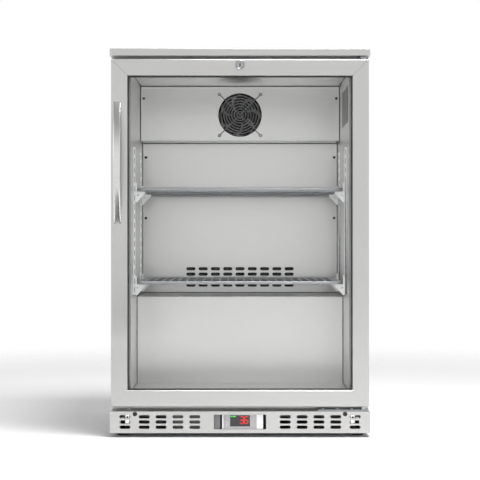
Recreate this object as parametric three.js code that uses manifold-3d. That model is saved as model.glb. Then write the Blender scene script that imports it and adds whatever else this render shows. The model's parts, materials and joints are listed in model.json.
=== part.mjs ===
// Undercounter refrigerator with one glass door, as an assembly of separate pieces.
// Millimetres, +Z up, front towards -Y. The origin is on the floor, under the middle of the whole object.
import * as THREE from 'three';
import { mergeVertices } from 'three/addons/utils/BufferGeometryUtils.js';
import Module from 'manifold-3d';

const wasm = await Module();
wasm.setup();

// ---- driving dimensions ----
const WIDTH = 600;              // over the worktop
const HEIGHT = 895;             // floor to the top of the worktop
const DEPTH = 520;              // back of the worktop to the door's face
const HANDLE_REACH = 33;        // how far the handle stands out of the door's face
const SHEET = 1;                // folded steel sheet
const GAP = 0.3;                // left between pieces that touch
const FLOOR_CLEARANCE = 10;     // floor to the plinth's lower edge, filled by the feet
const PLINTH_TOP = 60;
const DOOR_BOTTOM = 70.5;
const DOOR_TOP = 870.5;
const DOOR_HALF_WIDTH = 297;
const DOOR_THICKNESS = 40;      // steel frame, without the gasket
const FRAME_WIDTH = 38;         // stiles and rails, seen from the front
const FRAME_WALL = 1.5;
const WORKTOP_BOTTOM = 878.5;
const BODY_DEPTH = 50;          // door's face to the cabinet's front edge
const CASE_HALF_WIDTH = 299;
const ROOM_HALF_WIDTH = 255;    // storage space inside the liner
const ROOM_FLOOR = 101.6;
const ROOM_CEILING = 847.5;
const STEP_DEPTH = 254.6;       // door's face to the riser of the machine step
const STEP_TOP = 316;
const COVER_DEPTH = 379;        // door's face to the evaporator cover
const COVER_BOTTOM = 707;
const BACK_DEPTH = 465;         // door's face to the rear air panel
const LINER_BACK_DEPTH = 480;
const MACHINE_TOP = 272;        // machine room behind the step
const MACHINE_DEPTH = 297;
const INSULATION_BOTTOM = 60.3;
const FAN_Z = 773.6;
const FAN_BORE = 55.5;
const SHELF_HEIGHTS = { upper: 574.6, lower: 352.8 };   // middle of the front bar
const SHELF_BAR = 9;
const SHELF_HALF_WIDTH = 245;
const SHELF_FRONT_DEPTH = 105;
const SHELF_LENGTH = 330;
const PILASTER_DEPTHS = { front: 130, rear: 364 };
const PILASTER_WIDTH = 20;
const PILASTER_REACH = 5;
const HINGE_X = 285;
const HINGE_DEPTH = 15;
const LOCK_Z = 856.8;
const FOOT_X = 274;
const FOOT_YS = { front: -193.5, rear: 245 };

const REAR_Y = (DEPTH + HANDLE_REACH) / 2;
const FACE_Y = REAR_Y - DEPTH;
const behind = (depth) => FACE_Y + depth;               // y of a plane that lies this far behind the door's face
const BODY_Y = behind(BODY_DEPTH);
const RISER_Y = behind(STEP_DEPTH);
const LINER_FRONT_Y = BODY_Y + 4 + GAP;

// ---- finishes ----
const finish = (color, roughness, metalness, extra = {}) =>
  new THREE.MeshStandardMaterial({ color, roughness, metalness, ...extra });
const steel = finish(0xc6c6c4, 0.32, 1);
const brightSteel = finish(0xd4d4d2, 0.22, 1);
const zinc = finish(0xd8dadb, 0.35, 1);
const chrome = finish(0xe2e4e6, 0.08, 1);
const galvanised = finish(0xa9adb0, 0.5, 1);
const aluminium = finish(0xc9cccf, 0.4, 1);
const blackPlastic = finish(0x17181a, 0.55, 0);
const greyPlastic = finish(0x9d9ca4, 0.5, 0);
const foam = finish(0xd9c98f, 0.95, 0);
const glass = finish(0xe8f2ef, 0.03, 0, { transparent: true, opacity: 0.3 });
const rubber = finish(0x222324, 0.8, 0);
const blackPaint = finish(0x1b1c1e, 0.4, 0.1);
const shelfCoat = finish(0x9b9da0, 0.35, 0);
const guardWire = finish(0x3a3b3c, 0.4, 0.6);

const refrigerator = new THREE.Group();

function piece(name, shape, material) {
  const geometry = shape instanceof THREE.BufferGeometry ? shape : toGeometry(shape);
  const mesh = new THREE.Mesh(geometry, material);
  mesh.name = name;
  refrigerator.add(mesh);
  return mesh;
}

// ---- solids and booleans ----
function toSolid(geometry) {
  const bare = geometry.clone();
  bare.deleteAttribute('normal');
  bare.deleteAttribute('uv');
  const merged = mergeVertices(bare, 1e-4);
  const vertProperties = new Float32Array(merged.attributes.position.array);
  const triVerts = new Uint32Array(merged.index.array);
  return new wasm.Manifold(new wasm.Mesh({ numProp: 3, vertProperties, triVerts }));
}

function toGeometry(solid) {
  const mesh = solid.getMesh();
  const geometry = new THREE.BufferGeometry();
  geometry.setAttribute('position', new THREE.BufferAttribute(mesh.vertProperties.slice(), 3));
  geometry.setIndex(new THREE.BufferAttribute(mesh.triVerts.slice(), 1));
  geometry.computeVertexNormals();
  return geometry;
}

const join = (...shapes) => shapes.map(toSolid).reduce((whole, next) => whole.add(next));
const cut = (solid, ...shapes) => shapes.map(toSolid).reduce((whole, next) => whole.subtract(next), solid);

// ---- shapes ----
function box([x0, x1], [y0, y1], [z0, z1]) {
  const geometry = new THREE.BoxGeometry(x1 - x0, y1 - y0, z1 - z0);
  return geometry.translate((x0 + x1) / 2, (y0 + y1) / 2, (z0 + z1) / 2);
}

function polygon(points, holes = []) {
  const shape = new THREE.Shape(points.map(([x, y]) => new THREE.Vector2(x, y)));
  shape.holes = holes;
  return shape;
}

// A rectangle whose corners are round, as an outline or, as a Path, a hole in one.
function roundedRectangle(x0, x1, y0, y1, radius, Kind = THREE.Shape) {
  const outline = new Kind();
  outline.moveTo(x0 + radius, y0);
  outline.lineTo(x1 - radius, y0).absarc(x1 - radius, y0 + radius, radius, -Math.PI / 2, 0, false);
  outline.lineTo(x1, y1 - radius).absarc(x1 - radius, y1 - radius, radius, 0, Math.PI / 2, false);
  outline.lineTo(x0 + radius, y1).absarc(x0 + radius, y1 - radius, radius, Math.PI / 2, Math.PI, false);
  outline.lineTo(x0, y0 + radius).absarc(x0 + radius, y0 + radius, radius, Math.PI, 1.5 * Math.PI, false);
  return outline;
}

// A slot with round ends, along x or, where it is taller than wide, along y. Each end is an arc of a few chords.
function slotHole(x, y, width, height, chords = 3) {
  const radius = Math.min(width, height) / 2;
  const reach = Math.max(width, height) / 2 - radius;
  const upright = height > width;
  const points = [];
  for (let end = 0; end < 2; end += 1) {
    for (let step = 0; step <= chords; step += 1) {
      const angle = -Math.PI / 2 + Math.PI * (end + step / chords);
      const along = (end === 0 ? reach : -reach) + radius * Math.cos(angle);
      const across = radius * Math.sin(angle);
      points.push(upright ? new THREE.Vector2(x - across, y + along) : new THREE.Vector2(x + along, y + across));
    }
  }
  return new THREE.Path(points);
}

function roundHole(x, y, radius) {
  return new THREE.Path().absarc(x, y, radius, 0, 2 * Math.PI, false);
}

const extrude = (shape, depth, curveSegments = 3, extra = {}) =>
  new THREE.ExtrudeGeometry(shape, { depth, curveSegments, bevelEnabled: false, ...extra });

// A shape drawn in (x, z), standing between two y planes.
function frontPlate(shape, y0, y1, curveSegments = 3, extra = {}) {
  return extrude(shape, y1 - y0, curveSegments, extra).rotateX(Math.PI / 2).translate(0, y1, 0);
}

// A shape drawn in (y, z), running along x.
function sideProfile(shape, x0, x1, curveSegments = 3, extra = {}) {
  const turn = new THREE.Matrix4().makeBasis(
    new THREE.Vector3(0, 1, 0), new THREE.Vector3(0, 0, 1), new THREE.Vector3(1, 0, 0));
  return extrude(shape, x1 - x0, curveSegments, extra).applyMatrix4(turn).translate(x0, 0, 0);
}

// A shape drawn in (x, y), running up from z0 to z1.
const planProfile = (shape, z0, z1, curveSegments = 3, extra = {}) =>
  extrude(shape, z1 - z0, curveSegments, extra).translate(0, 0, z0);

// A profile of [radius, height] points turned about an upright axis at (x, y).
function turned(points, x, y, segments = 20) {
  const profile = points.map(([radius, height]) => new THREE.Vector2(radius, height));
  return new THREE.LatheGeometry(profile, segments).rotateX(Math.PI / 2).translate(x, y, 0);
}

// A profile of [radius, y] points turned about an axis that runs front to back at (x, z).
function turnedAlongY(points, x, z, segments = 20) {
  const profile = points.map(([radius, y]) => new THREE.Vector2(radius, y));
  return new THREE.LatheGeometry(profile, segments).translate(x, 0, z);
}

const rod = (radius, y0, y1, x, z, segments = 12) =>
  turnedAlongY([[0, y0], [radius, y0], [radius, y1], [0, y1]], x, z, segments);
const post = (radius, z0, z1, x, y, segments = 12) =>
  turned([[0, z0], [radius, z0], [radius, z1], [0, z1]], x, y, segments);

// ---- cabinet ----
function buildWorktop() {
  const edge = { bevelEnabled: true, bevelThickness: 1, bevelSize: 1, bevelOffset: -1, bevelSegments: 1 };
  const outline = roundedRectangle(-WIDTH / 2, WIDTH / 2, FACE_Y, REAR_Y, 3);
  const block = planProfile(outline, WORKTOP_BOTTOM + 1, HEIGHT - 1, 3, edge);
  const hollow = box(
    [-WIDTH / 2 + SHEET, WIDTH / 2 - SHEET], [FACE_Y + SHEET, REAR_Y - SHEET],
    [WORKTOP_BOTTOM - 5, HEIGHT - SHEET - 0.2]);
  piece('worktop', cut(toSolid(block), hollow), steel);
}

function buildSidePanels() {
  const frontReturn = 12;
  const rearReturn = 20;
  const rear = REAR_Y - 1.5;
  for (const [name, side] of [['left', -1], ['right', 1]]) {
    const section = [
      [CASE_HALF_WIDTH, BODY_Y], [CASE_HALF_WIDTH, rear], [CASE_HALF_WIDTH - rearReturn, rear],
      [CASE_HALF_WIDTH - rearReturn, rear - SHEET], [CASE_HALF_WIDTH - SHEET, rear - SHEET],
      [CASE_HALF_WIDTH - SHEET, BODY_Y + SHEET], [CASE_HALF_WIDTH - frontReturn, BODY_Y + SHEET],
      [CASE_HALF_WIDTH - frontReturn, BODY_Y],
    ].map(([x, y]) => [side * x, y]);
    const panel = planProfile(polygon(section), FLOOR_CLEARANCE + 1.3, WORKTOP_BOTTOM - GAP);
    piece(`side_panel_${name}`, panel, steel);
  }
}

function buildRear() {
  const half = CASE_HALF_WIDTH - 1.3;
  const heights = [MACHINE_TOP + 2, WORKTOP_BOTTOM - GAP];
  piece('rear_panel', box([-half, half], [REAR_Y - 1.2, REAR_Y - 0.4], heights), galvanised);
  const y = REAR_Y - 15;
  const grilleHalf = CASE_HALF_WIDTH - 2.5;
  const grille = roundedRectangle(-grilleHalf, grilleHalf, PLINTH_TOP + 2, MACHINE_TOP - 1, 2);
  const columns = 7;
  const columnPitch = 62;
  const rowHeights = [120, 170, 220];
  const [slotWidth, slotHeight] = [9, 36];
  for (let column = 0; column < columns; column += 1) {
    const x = (column - (columns - 1) / 2) * columnPitch;
    for (const z of rowHeights) grille.holes.push(slotHole(x, z, slotWidth, slotHeight));
  }
  piece('rear_service_grille', frontPlate(grille, y, y + SHEET, 2), galvanised);
}

function buildBase() {
  const half = CASE_HALF_WIDTH - 2;
  const pan = 1.5;
  const z0 = FLOOR_CLEARANCE + 1.3;
  const rail = [z0, 59.5];
  const front = FACE_Y + 2.5;
  const rear = REAR_Y - 13;
  const sides = [BODY_Y + 2, rear - 0.6];
  const across = [-half + 0.5, half - 0.5];
  const innerHalf = CASE_HALF_WIDTH - 12.5;
  const floor = roundedRectangle(-innerHalf, innerHalf, front, rear - 0.9, 4);
  for (const x of [-FOOT_X, FOOT_X]) {
    for (const y of Object.values(FOOT_YS)) floor.holes.push(roundHole(x, y, 5.3));
  }
  const solid = join(
    planProfile(floor, z0, z0 + pan, 5),
    box([-half, -half + pan], sides, rail),
    box([half - pan, half], sides, rail),
    box(across, [rear - pan, rear], [z0 + 0.3, 59]),
    box(across, [40, 60], [z0 + 0.7, z0 + 14]));
  piece('base_frame', solid, galvanised);
}

function buildPlinth() {
  const columns = [103.9, 142.8, 181.6, 220.3, 264.7];
  const rows = [23.8, 35.7, 47.7];
  const [slotWidth, slotHeight] = [25, 7.4];
  const holes = [];
  for (const x of columns.flatMap((column) => [-column, column])) {
    for (const z of rows) holes.push(slotHole(x, z, slotWidth, slotHeight));
  }
  holes.push(roundedRectangle(-60, 60, 19.1, 52.5, 0.8, THREE.Path));
  for (const x of [-241.7, 241.7]) holes.push(roundHole(x, 54, 4.2));
  const front = roundedRectangle(-WIDTH / 2 + 0.2, WIDTH / 2 - 0.2, FLOOR_CLEARANCE, PLINTH_TOP, 1.5);
  front.holes = holes;
  const back = BODY_Y - GAP;
  const sides = [-1, 1].map((side) => {
    const xs = [side * (WIDTH / 2 - 0.2), side * (WIDTH / 2 - 0.2 - SHEET)].sort((a, b) => a - b);
    return box(xs, [FACE_Y + 0.5, back], [FLOOR_CLEARANCE + 1.4, PLINTH_TOP - 1.4]);
  });
  const lid = box([-WIDTH / 2 + 1.4, WIDTH / 2 - 1.4], [FACE_Y + 0.5, back], [PLINTH_TOP - SHEET, PLINTH_TOP]);
  const shoulders = [-1, 1].map((side) => {
    const xs = [side * (WIDTH / 2 - 0.2 - SHEET), side * (WIDTH / 2 - 3)].sort((a, b) => a - b);
    return box(xs, [FACE_Y + 0.5, back], [PLINTH_TOP - 2.4, PLINTH_TOP - 0.2]);
  });
  piece('plinth_grille', join(frontPlate(front, FACE_Y, FACE_Y + SHEET, 2), lid, ...sides, ...shoulders), steel);
}

function buildJamb() {
  const half = CASE_HALF_WIDTH - 12 - GAP;
  const ring = roundedRectangle(-half, half, PLINTH_TOP + 1, WORKTOP_BOTTOM - 0.5, 1);
  ring.holes.push(roundedRectangle(-ROOM_HALF_WIDTH, ROOM_HALF_WIDTH, ROOM_FLOOR, ROOM_CEILING, 1.5, THREE.Path));
  piece('door_jamb', frontPlate(ring, BODY_Y, BODY_Y + 4, 2), steel);
}

function buildInsulation() {
  const half = CASE_HALF_WIDTH - SHEET - GAP;
  const skin = SHEET + GAP;
  const block = box([-half, half], [LINER_FRONT_Y, REAR_Y - 2.8], [INSULATION_BOTTOM, WORKTOP_BOTTOM - GAP]);
  const room = [-ROOM_HALF_WIDTH - skin, ROOM_HALF_WIDTH + skin];
  const top = ROOM_CEILING + skin;
  const solid = cut(
    toSolid(block),
    box(room, [LINER_FRONT_Y - 5, RISER_Y + skin], [ROOM_FLOOR - skin, top]),
    box(room, [RISER_Y, behind(LINER_BACK_DEPTH) + GAP], [STEP_TOP - skin, top]),
    box([-WIDTH, WIDTH], [behind(MACHINE_DEPTH), REAR_Y], [INSULATION_BOTTOM - 5, MACHINE_TOP]));
  piece('foam_insulation', solid, foam);
}

function buildLiner() {
  const bottom = ROOM_FLOOR - SHEET;
  const top = ROOM_CEILING + SHEET;
  const back = behind(LINER_BACK_DEPTH);
  const step = RISER_Y + SHEET;
  const wall = [
    [LINER_FRONT_Y, bottom], [step, bottom], [step, STEP_TOP - SHEET], [back, STEP_TOP - SHEET],
    [back, top], [LINER_FRONT_Y, top],
  ];
  for (const [name, x] of [['left', -ROOM_HALF_WIDTH - SHEET], ['right', ROOM_HALF_WIDTH]]) {
    piece(`liner_${name}`, sideProfile(polygon(wall), x, x + SHEET), brightSteel);
  }
  const across = [-ROOM_HALF_WIDTH + GAP, ROOM_HALF_WIDTH - GAP];
  piece('liner_ceiling', box(across, [LINER_FRONT_Y, back], [ROOM_CEILING, top]), brightSteel);
  piece('liner_floor', box(across, [LINER_FRONT_Y, RISER_Y - GAP], [bottom, ROOM_FLOOR]), brightSteel);

  const coverSection = [
    [RISER_Y, bottom], [step, bottom], [step, STEP_TOP - SHEET], [behind(BACK_DEPTH), STEP_TOP - SHEET],
    [behind(BACK_DEPTH), STEP_TOP], [RISER_Y, STEP_TOP],
  ];
  piece('machine_cover', sideProfile(polygon(coverSection), ...across), brightSteel);
}

function buildAirPanel() {
  const columns = 9;
  const columnPitch = 32.1;
  const [slotWidth, slotHeight] = [24, 8.4];
  const rows = [379, 365, 350.7, 336.4];
  const panel = roundedRectangle(
    -ROOM_HALF_WIDTH + GAP, ROOM_HALF_WIDTH - GAP, STEP_TOP + GAP, COVER_BOTTOM - GAP, 0.5);
  for (let column = 0; column < columns; column += 1) {
    const x = (column - (columns - 1) / 2) * columnPitch;
    for (const z of rows) panel.holes.push(slotHole(x, z, slotWidth, slotHeight));
  }
  const y = behind(BACK_DEPTH) + GAP;
  piece('rear_air_panel', frontPlate(panel, y, y + 1.2, 2), brightSteel);
}

function buildEvaporator() {
  const across = [-ROOM_HALF_WIDTH + GAP, ROOM_HALF_WIDTH - GAP];
  const face = polygon([
    [across[0], COVER_BOTTOM], [across[1], COVER_BOTTOM], [across[1], ROOM_CEILING - GAP],
    [across[0], ROOM_CEILING - GAP]], [roundHole(0, FAN_Z, FAN_BORE)]);
  const y = behind(COVER_DEPTH);
  piece('evaporator_cover', join(
    frontPlate(face, y, y + SHEET, 14),
    box(across, [y + 0.2, behind(BACK_DEPTH)], [COVER_BOTTOM, COVER_BOTTOM + SHEET])), brightSteel);

  const fins = planProfile(comb(16, 28, 0.9, 36), 722, 836).translate(0, behind(436), 0);
  piece('evaporator_coil', fins, aluminium);

  const half = 59.5;
  const depth = 25;
  const frameY = y + SHEET + 1.5;
  const frame = roundedRectangle(-half, half, FAN_Z - half, FAN_Z + half, 6);
  frame.holes.push(roundHole(0, FAN_Z, 54.5));
  const strut = (angle) =>
    box([-57, 57], [frameY + depth - 3, frameY + depth], [-2.5, 2.5]).rotateY(angle).translate(0, 0, FAN_Z);
  piece('evaporator_fan_frame', join(
    frontPlate(frame, frameY, frameY + depth, 6), strut(Math.PI / 4), strut(-Math.PI / 4),
    rod(19, frameY + depth - 4.5, frameY + depth + 0.2, 0, FAN_Z, 18)), blackPlastic);
  const rotor = fanRotor(20, 52, 16, 7, 0.5);
  piece('evaporator_fan_rotor', rotor.translate([0, frameY + 10.5, FAN_Z]), blackPlastic);
}

// Outline of a block of fins seen from above: plates across x, held by a spine down the middle.
function comb(fins, pitch, thickness, depth) {
  const spine = 1;
  const left = -((fins - 1) / 2) * pitch - thickness / 2;
  const upper = [];
  const lower = [];
  for (let fin = 0; fin < fins; fin += 1) {
    const x0 = left + fin * pitch;
    const x1 = x0 + thickness;
    upper.push([x0, depth / 2], [x1, depth / 2]);
    lower.push([x0, -depth / 2], [x1, -depth / 2]);
    if (fin < fins - 1) {
      upper.push([x1, spine], [x0 + pitch, spine]);
      lower.push([x1, -spine], [x0 + pitch, -spine]);
    }
  }
  return polygon([...lower, ...upper.reverse()]);
}

// A hub with pitched blades, turning about an axis that runs front to back.
function fanRotor(hubRadius, tipRadius, length, blades, pitchAngle) {
  const span = 0.82 * Math.PI / blades;
  const blade = new THREE.Shape();
  blade.absarc(0, 0, tipRadius, -span, span, false);
  blade.absarc(0, 0, hubRadius - 3, span, -span, true);
  let rotor = toSolid(rod(hubRadius, -length / 2, length / 2, 0, 0, 20));
  for (let index = 0; index < blades; index += 1) {
    const vane = extrude(blade, 1.4, 2).translate(0, 0, -0.7).rotateX(pitchAngle);
    vane.rotateX(Math.PI / 2).rotateY(index * 2 * Math.PI / blades);
    rotor = rotor.add(toSolid(vane));
  }
  return rotor;
}

function buildFanGuard() {
  const wire = 1.4;
  const y = behind(COVER_DEPTH) - 7;
  const rings = 7;
  const innerRadius = 8;
  const ringPitch = 6.7;
  const screwOffset = 52.5;
  const parts = [];
  for (let ring = 0; ring < rings; ring += 1) {
    const radius = innerRadius + ring * ringPitch;
    const corners = [[-wire, 0], [0, -wire], [wire, 0], [0, wire], [-wire, 0]];
    const profile = corners.map(([outward, along]) => [radius + outward, y + along]);
    parts.push(turnedAlongY(profile, 0, FAN_Z, ring < 3 ? 8 : 14));
  }
  const reach = screwOffset * Math.SQRT2;
  const bend = 54;
  for (const angle of [Math.PI / 4, -Math.PI / 4]) {
    const arm = polygon([
      [-reach, y + 4.2], [-bend, y - 1.2], [bend, y - 1.2], [reach, y + 4.2], [reach, y + 6.7],
      [reach - 1, y + 6.7], [bend - 1.2, y + 1.2], [-bend + 1.2, y + 1.2], [-reach + 1, y + 6.7], [-reach, y + 6.7]]);
    parts.push(planProfile(arm, -1.3, 1.3).rotateY(angle).translate(0, 0, FAN_Z));
  }
  for (const x of [-screwOffset, screwOffset]) {
    for (const z of [-screwOffset, screwOffset]) {
      parts.push(rod(4.5, y + 3.9, y + 6.7, x, FAN_Z + z, 10));
    }
  }
  piece('fan_guard', join(...parts), guardWire);
}

// ---- shelf supports ----
function buildPilasters() {
  const bottom = 324;
  const top = 676;
  const slots = 16;
  const pitch = (top - bottom) / slots;
  for (const [place, depth] of Object.entries(PILASTER_DEPTHS)) {
    const y0 = behind(depth);
    const y1 = y0 + PILASTER_WIDTH;
    for (const [name, side] of [['left', -1], ['right', 1]]) {
      const face = polygon([[y0, bottom], [y1, bottom], [y1, top], [y0, top]]);
      for (let slot = 0; slot < slots; slot += 1) {
        const z = bottom + (slot + 0.5) * pitch;
        const middle = (y0 + y1) / 2;
        face.holes.push(polygonHole(middle - 2.5, middle + 2.5, z - 6.5, z + 6.5));
      }
      const inner = ROOM_HALF_WIDTH - PILASTER_REACH;
      const outer = ROOM_HALF_WIDTH - GAP;
      const sorted = (a, b) => (side * a < side * b ? [side * a, side * b] : [side * b, side * a]);
      const plate = sideProfile(face, ...sorted(inner, inner + 1.2));
      const legs = [[y0, y0 + 1.2], [y1 - 1.2, y1]].map((ys) =>
        box(sorted(inner + 0.6, outer), ys, [bottom, top]));
      piece(`pilaster_${place}_${name}`, join(plate, ...legs), zinc);
    }
  }
}

const polygonHole = (x0, x1, y0, y1) =>
  new THREE.Path([[x0, y0], [x0, y1], [x1, y1], [x1, y0]].map(([x, y]) => new THREE.Vector2(x, y)));

function buildShelfClips() {
  const wall = ROOM_HALF_WIDTH - PILASTER_REACH - GAP;
  const reach = 23;
  for (const [level, middle] of Object.entries(SHELF_HEIGHTS)) {
    const support = middle - SHELF_BAR / 2 - GAP;
    for (const [place, depth] of Object.entries(PILASTER_DEPTHS)) {
      const y = behind(depth) + 4;
      for (const [name, side] of [['left', -1], ['right', 1]]) {
        const outline = [
          [wall, support - 26], [wall, support + 20], [wall - 2.5, support + 22], [wall - 3.4, support + 20],
          [wall - 3.4, support], [wall - reach, support], [wall - reach, support - 4], [wall - 3, support - 26],
        ].map(([x, z]) => [side * x, z]);
        const gusset = polygon(outline, [roundHole(side * (wall - 5.5), support - 8, 2)]);
        const xs = [side * (wall - 0.5), side * (wall - reach)].sort((a, b) => a - b);
        const ledge = box(xs, [y + 0.2, y + 12], [support - 1.5, support]);
        piece(`shelf_clip_${level}_${place}_${name}`, join(frontPlate(gusset, y, y + 1.5), ledge), zinc);
      }
    }
  }
}

function buildShelves() {
  const bar = 8;
  const wireRadius = 1.8;
  const wires = 24;
  const pitch = 19.6;
  const crossBarHeight = 5.5;
  const y0 = behind(SHELF_FRONT_DEPTH);
  const y1 = y0 + SHELF_LENGTH;
  const softEdge = { bevelEnabled: true, bevelThickness: 2, bevelSize: 2, bevelOffset: -2, bevelSegments: 1 };
  for (const [level, middle] of Object.entries(SHELF_HEIGHTS)) {
    const rim = roundedRectangle(-SHELF_HALF_WIDTH, SHELF_HALF_WIDTH, y0, y1, 14);
    rim.holes.push(roundedRectangle(
      -SHELF_HALF_WIDTH + bar, SHELF_HALF_WIDTH - bar, y0 + bar, y1 - bar, 6, THREE.Path));
    const top = middle + SHELF_BAR / 2;
    const gaps = [];
    for (let gap = 0; gap < wires - 1; gap += 1) {
      const x = (gap - (wires - 2) / 2) * pitch;
      const half = pitch / 2 - wireRadius;
      gaps.push(box([x - half, x + half], [y0 + bar + 1, y1 - bar - 1], [top - 5, top + 5]));
    }
    const grid = box([-SHELF_HALF_WIDTH + 3, SHELF_HALF_WIDTH - 3], [y0 + 3, y1 - 3], [top - 2.6, top + 0.9]);
    let shelf = cut(toSolid(grid), ...gaps);
    shelf = shelf.add(toSolid(planProfile(rim, middle - SHELF_BAR / 2 + 2, top - 3, 2, softEdge)));
    const across = [-SHELF_HALF_WIDTH + 3, SHELF_HALF_WIDTH - 3];
    const heights = [top - 2.9 - crossBarHeight, top - 2.9];
    for (const y of [y0 + SHELF_LENGTH / 3, y0 + 2 * SHELF_LENGTH / 3]) {
      shelf = shelf.add(toSolid(box(across, [y - 3, y + 3], heights)));
    }
    piece(`shelf_${level}`, shelf, shelfCoat);
  }
}

// ---- hinges ----
function buildHingeBrackets() {
  const y = behind(HINGE_DEPTH);
  const washer = 7;
  const pin = 4;
  const lowerPlate = roundedRectangle(178, 297, y - 9, BODY_Y - GAP, 3);
  piece('bottom_hinge_bracket', join(
    planProfile(lowerPlate, PLINTH_TOP + GAP, PLINTH_TOP + 3.3),
    post(washer, PLINTH_TOP + 3, DOOR_BOTTOM - GAP, HINGE_X, y),
    post(pin, PLINTH_TOP + 3, DOOR_BOTTOM + 14, HINGE_X, y)), zinc);
  const upperPlate = roundedRectangle(276, 297, y - 9, BODY_Y - GAP, 3);
  const plateBottom = DOOR_TOP + 3.5;
  piece('top_hinge_bracket', join(
    planProfile(upperPlate, plateBottom, plateBottom + 3),
    post(washer, DOOR_TOP + GAP, plateBottom + 0.5, HINGE_X, y),
    post(pin, DOOR_TOP - 9, plateBottom + 0.5, HINGE_X, y)), zinc);
}

// ---- door ----
// Mirroring a geometry turns it inside out, so the first two corners of each triangle change places.
function turnFacesRound(geometry) {
  const at = geometry.attributes.position;
  for (let index = 0; index < at.count; index += 3) {
    const [a, b] = [index, index + 1].map((corner) => [at.getX(corner), at.getY(corner), at.getZ(corner)]);
    at.setXYZ(index, ...b);
    at.setXYZ(index + 1, ...a);
  }
  return geometry;
}

// A hollow bar whose ends are mitred, drawn with its outer side at u = 0 and its front at the door's face.
function frameBar(length) {
  const corner = 3;
  const back = DOOR_THICKNESS;
  const section = new THREE.Shape();
  section.moveTo(0, back);
  section.lineTo(0, corner).absarc(corner, corner, corner, Math.PI, 1.5 * Math.PI, false);
  section.lineTo(FRAME_WIDTH - 1, 0).lineTo(FRAME_WIDTH, 1).lineTo(FRAME_WIDTH, back);
  const wall = FRAME_WALL;
  section.holes.push(polygonHole(wall, FRAME_WIDTH - wall, wall, back - wall));
  const bar = extrude(section, length, 4);
  const at = bar.attributes.position;
  for (let index = 0; index < at.count; index += 1) {
    const inset = at.getX(index) + GAP / 2;
    at.setZ(index, at.getZ(index) > length / 2 ? length - inset : inset);
  }
  return bar;
}

function buildDoorFrame() {
  const height = DOOR_TOP - DOOR_BOTTOM;
  const width = 2 * DOOR_HALF_WIDTH;
  const place = (bar, uAxis, lengthAxis, [x, z]) => {
    const basis = new THREE.Matrix4().makeBasis(uAxis, new THREE.Vector3(0, 1, 0), lengthAxis);
    bar.applyMatrix4(basis).translate(x, FACE_Y, z);
    return basis.determinant() > 0 ? bar : turnFacesRound(bar);
  };
  const axis = { x: new THREE.Vector3(1, 0, 0), z: new THREE.Vector3(0, 0, 1) };
  const back = (vector) => vector.clone().negate();
  const left = place(frameBar(height), axis.x, axis.z, [-DOOR_HALF_WIDTH, DOOR_BOTTOM]);
  const right = place(frameBar(height), back(axis.x), axis.z, [DOOR_HALF_WIDTH, DOOR_BOTTOM]);
  const top = place(frameBar(width), back(axis.z), axis.x, [-DOOR_HALF_WIDTH, DOOR_TOP]);
  const bottom = place(frameBar(width), axis.z, axis.x, [-DOOR_HALF_WIDTH, DOOR_BOTTOM]);
  const hingeY = behind(HINGE_DEPTH);
  const pinHole = 4.4;
  piece('door_stile_left', left, steel);
  piece('door_stile_right', right, steel);
  piece('door_rail_top', cut(
    toSolid(top), post(pinHole, DOOR_TOP - 5, DOOR_TOP + 5, HINGE_X, hingeY),
    rod(10, FACE_Y - 5, FACE_Y + 5, 0, LOCK_Z, 24),
    box([-7, 27], [FACE_Y + 17, FACE_Y + 23], [DOOR_TOP - 5, DOOR_TOP + 5])), steel);
  piece('door_rail_bottom', cut(
    toSolid(bottom), post(pinHole, DOOR_BOTTOM - 5, DOOR_BOTTOM + 5, HINGE_X, hingeY)), steel);
}

function buildGlazing() {
  const halfWidth = DOOR_HALF_WIDTH - FRAME_WIDTH - 0.5;
  const low = DOOR_BOTTOM + FRAME_WIDTH + 0.5;
  const high = DOOR_TOP - FRAME_WIDTH - 0.5;
  const thickness = 4;
  const front = FACE_Y + 3.5;
  const rear = front + 22;
  const pane = (y) => box([-halfWidth, halfWidth], [y, y + thickness], [low, high]);
  piece('glass_pane_front', pane(front), glass);
  piece('glass_pane_rear', pane(rear), glass);
  const edge = 2.6;
  const spacer = roundedRectangle(-halfWidth, halfWidth, low, high, 0.5);
  spacer.holes.push(roundedRectangle(
    -halfWidth + edge, halfWidth - edge, low + edge, high - edge, 0.5, THREE.Path));
  piece('glass_spacer', frontPlate(spacer, front + thickness + GAP, rear - GAP, 1), blackPlastic);
}

function buildGasket() {
  const outer = 289;
  const width = 17;
  const shape = roundedRectangle(-outer, outer, DOOR_BOTTOM + 8, DOOR_TOP - 8, 6);
  shape.holes.push(roundedRectangle(
    -outer + width, outer - width, DOOR_BOTTOM + 8 + width, DOOR_TOP - 8 - width, 3, THREE.Path));
  const y = FACE_Y + DOOR_THICKNESS;
  piece('door_gasket', frontPlate(shape, y + GAP, BODY_Y - 0.5, 4), rubber);
}

function buildHandle() {
  const bottom = 492;
  const top = 773;
  const middle = (bottom + top) / 2;
  const half = (top - bottom) / 2;
  const thickness = 7;
  const face = FACE_Y - GAP;
  // Two arcs: the outer one rises HANDLE_REACH out of the door, the inner one stays a thickness below it.
  const arc = (chord, rise) => (chord * chord + rise * rise) / (2 * rise);
  const bow = (chord, rise, steps) => {
    const radius = arc(chord, rise);
    const limit = Math.asin(chord / radius);
    return Array.from({ length: steps + 1 }, (_, step) => {
      const angle = limit * (2 * step / steps - 1);
      return [face - rise + radius * (1 - Math.cos(angle)), middle + radius * Math.sin(angle)];
    });
  };
  const outer = bow(half, HANDLE_REACH - GAP, 20);
  const inner = bow(half - 17, HANDLE_REACH - GAP - thickness, 16);
  const outline = polygon([...outer, ...inner.reverse()]);
  const bevel = { bevelEnabled: true, bevelThickness: 1.5, bevelSize: 1.2, bevelOffset: -1.2, bevelSegments: 1 };
  piece('door_handle', sideProfile(outline, -290.5 + 1.5, -273.5 - 1.5, 3, bevel), brightSteel);
}

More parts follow.
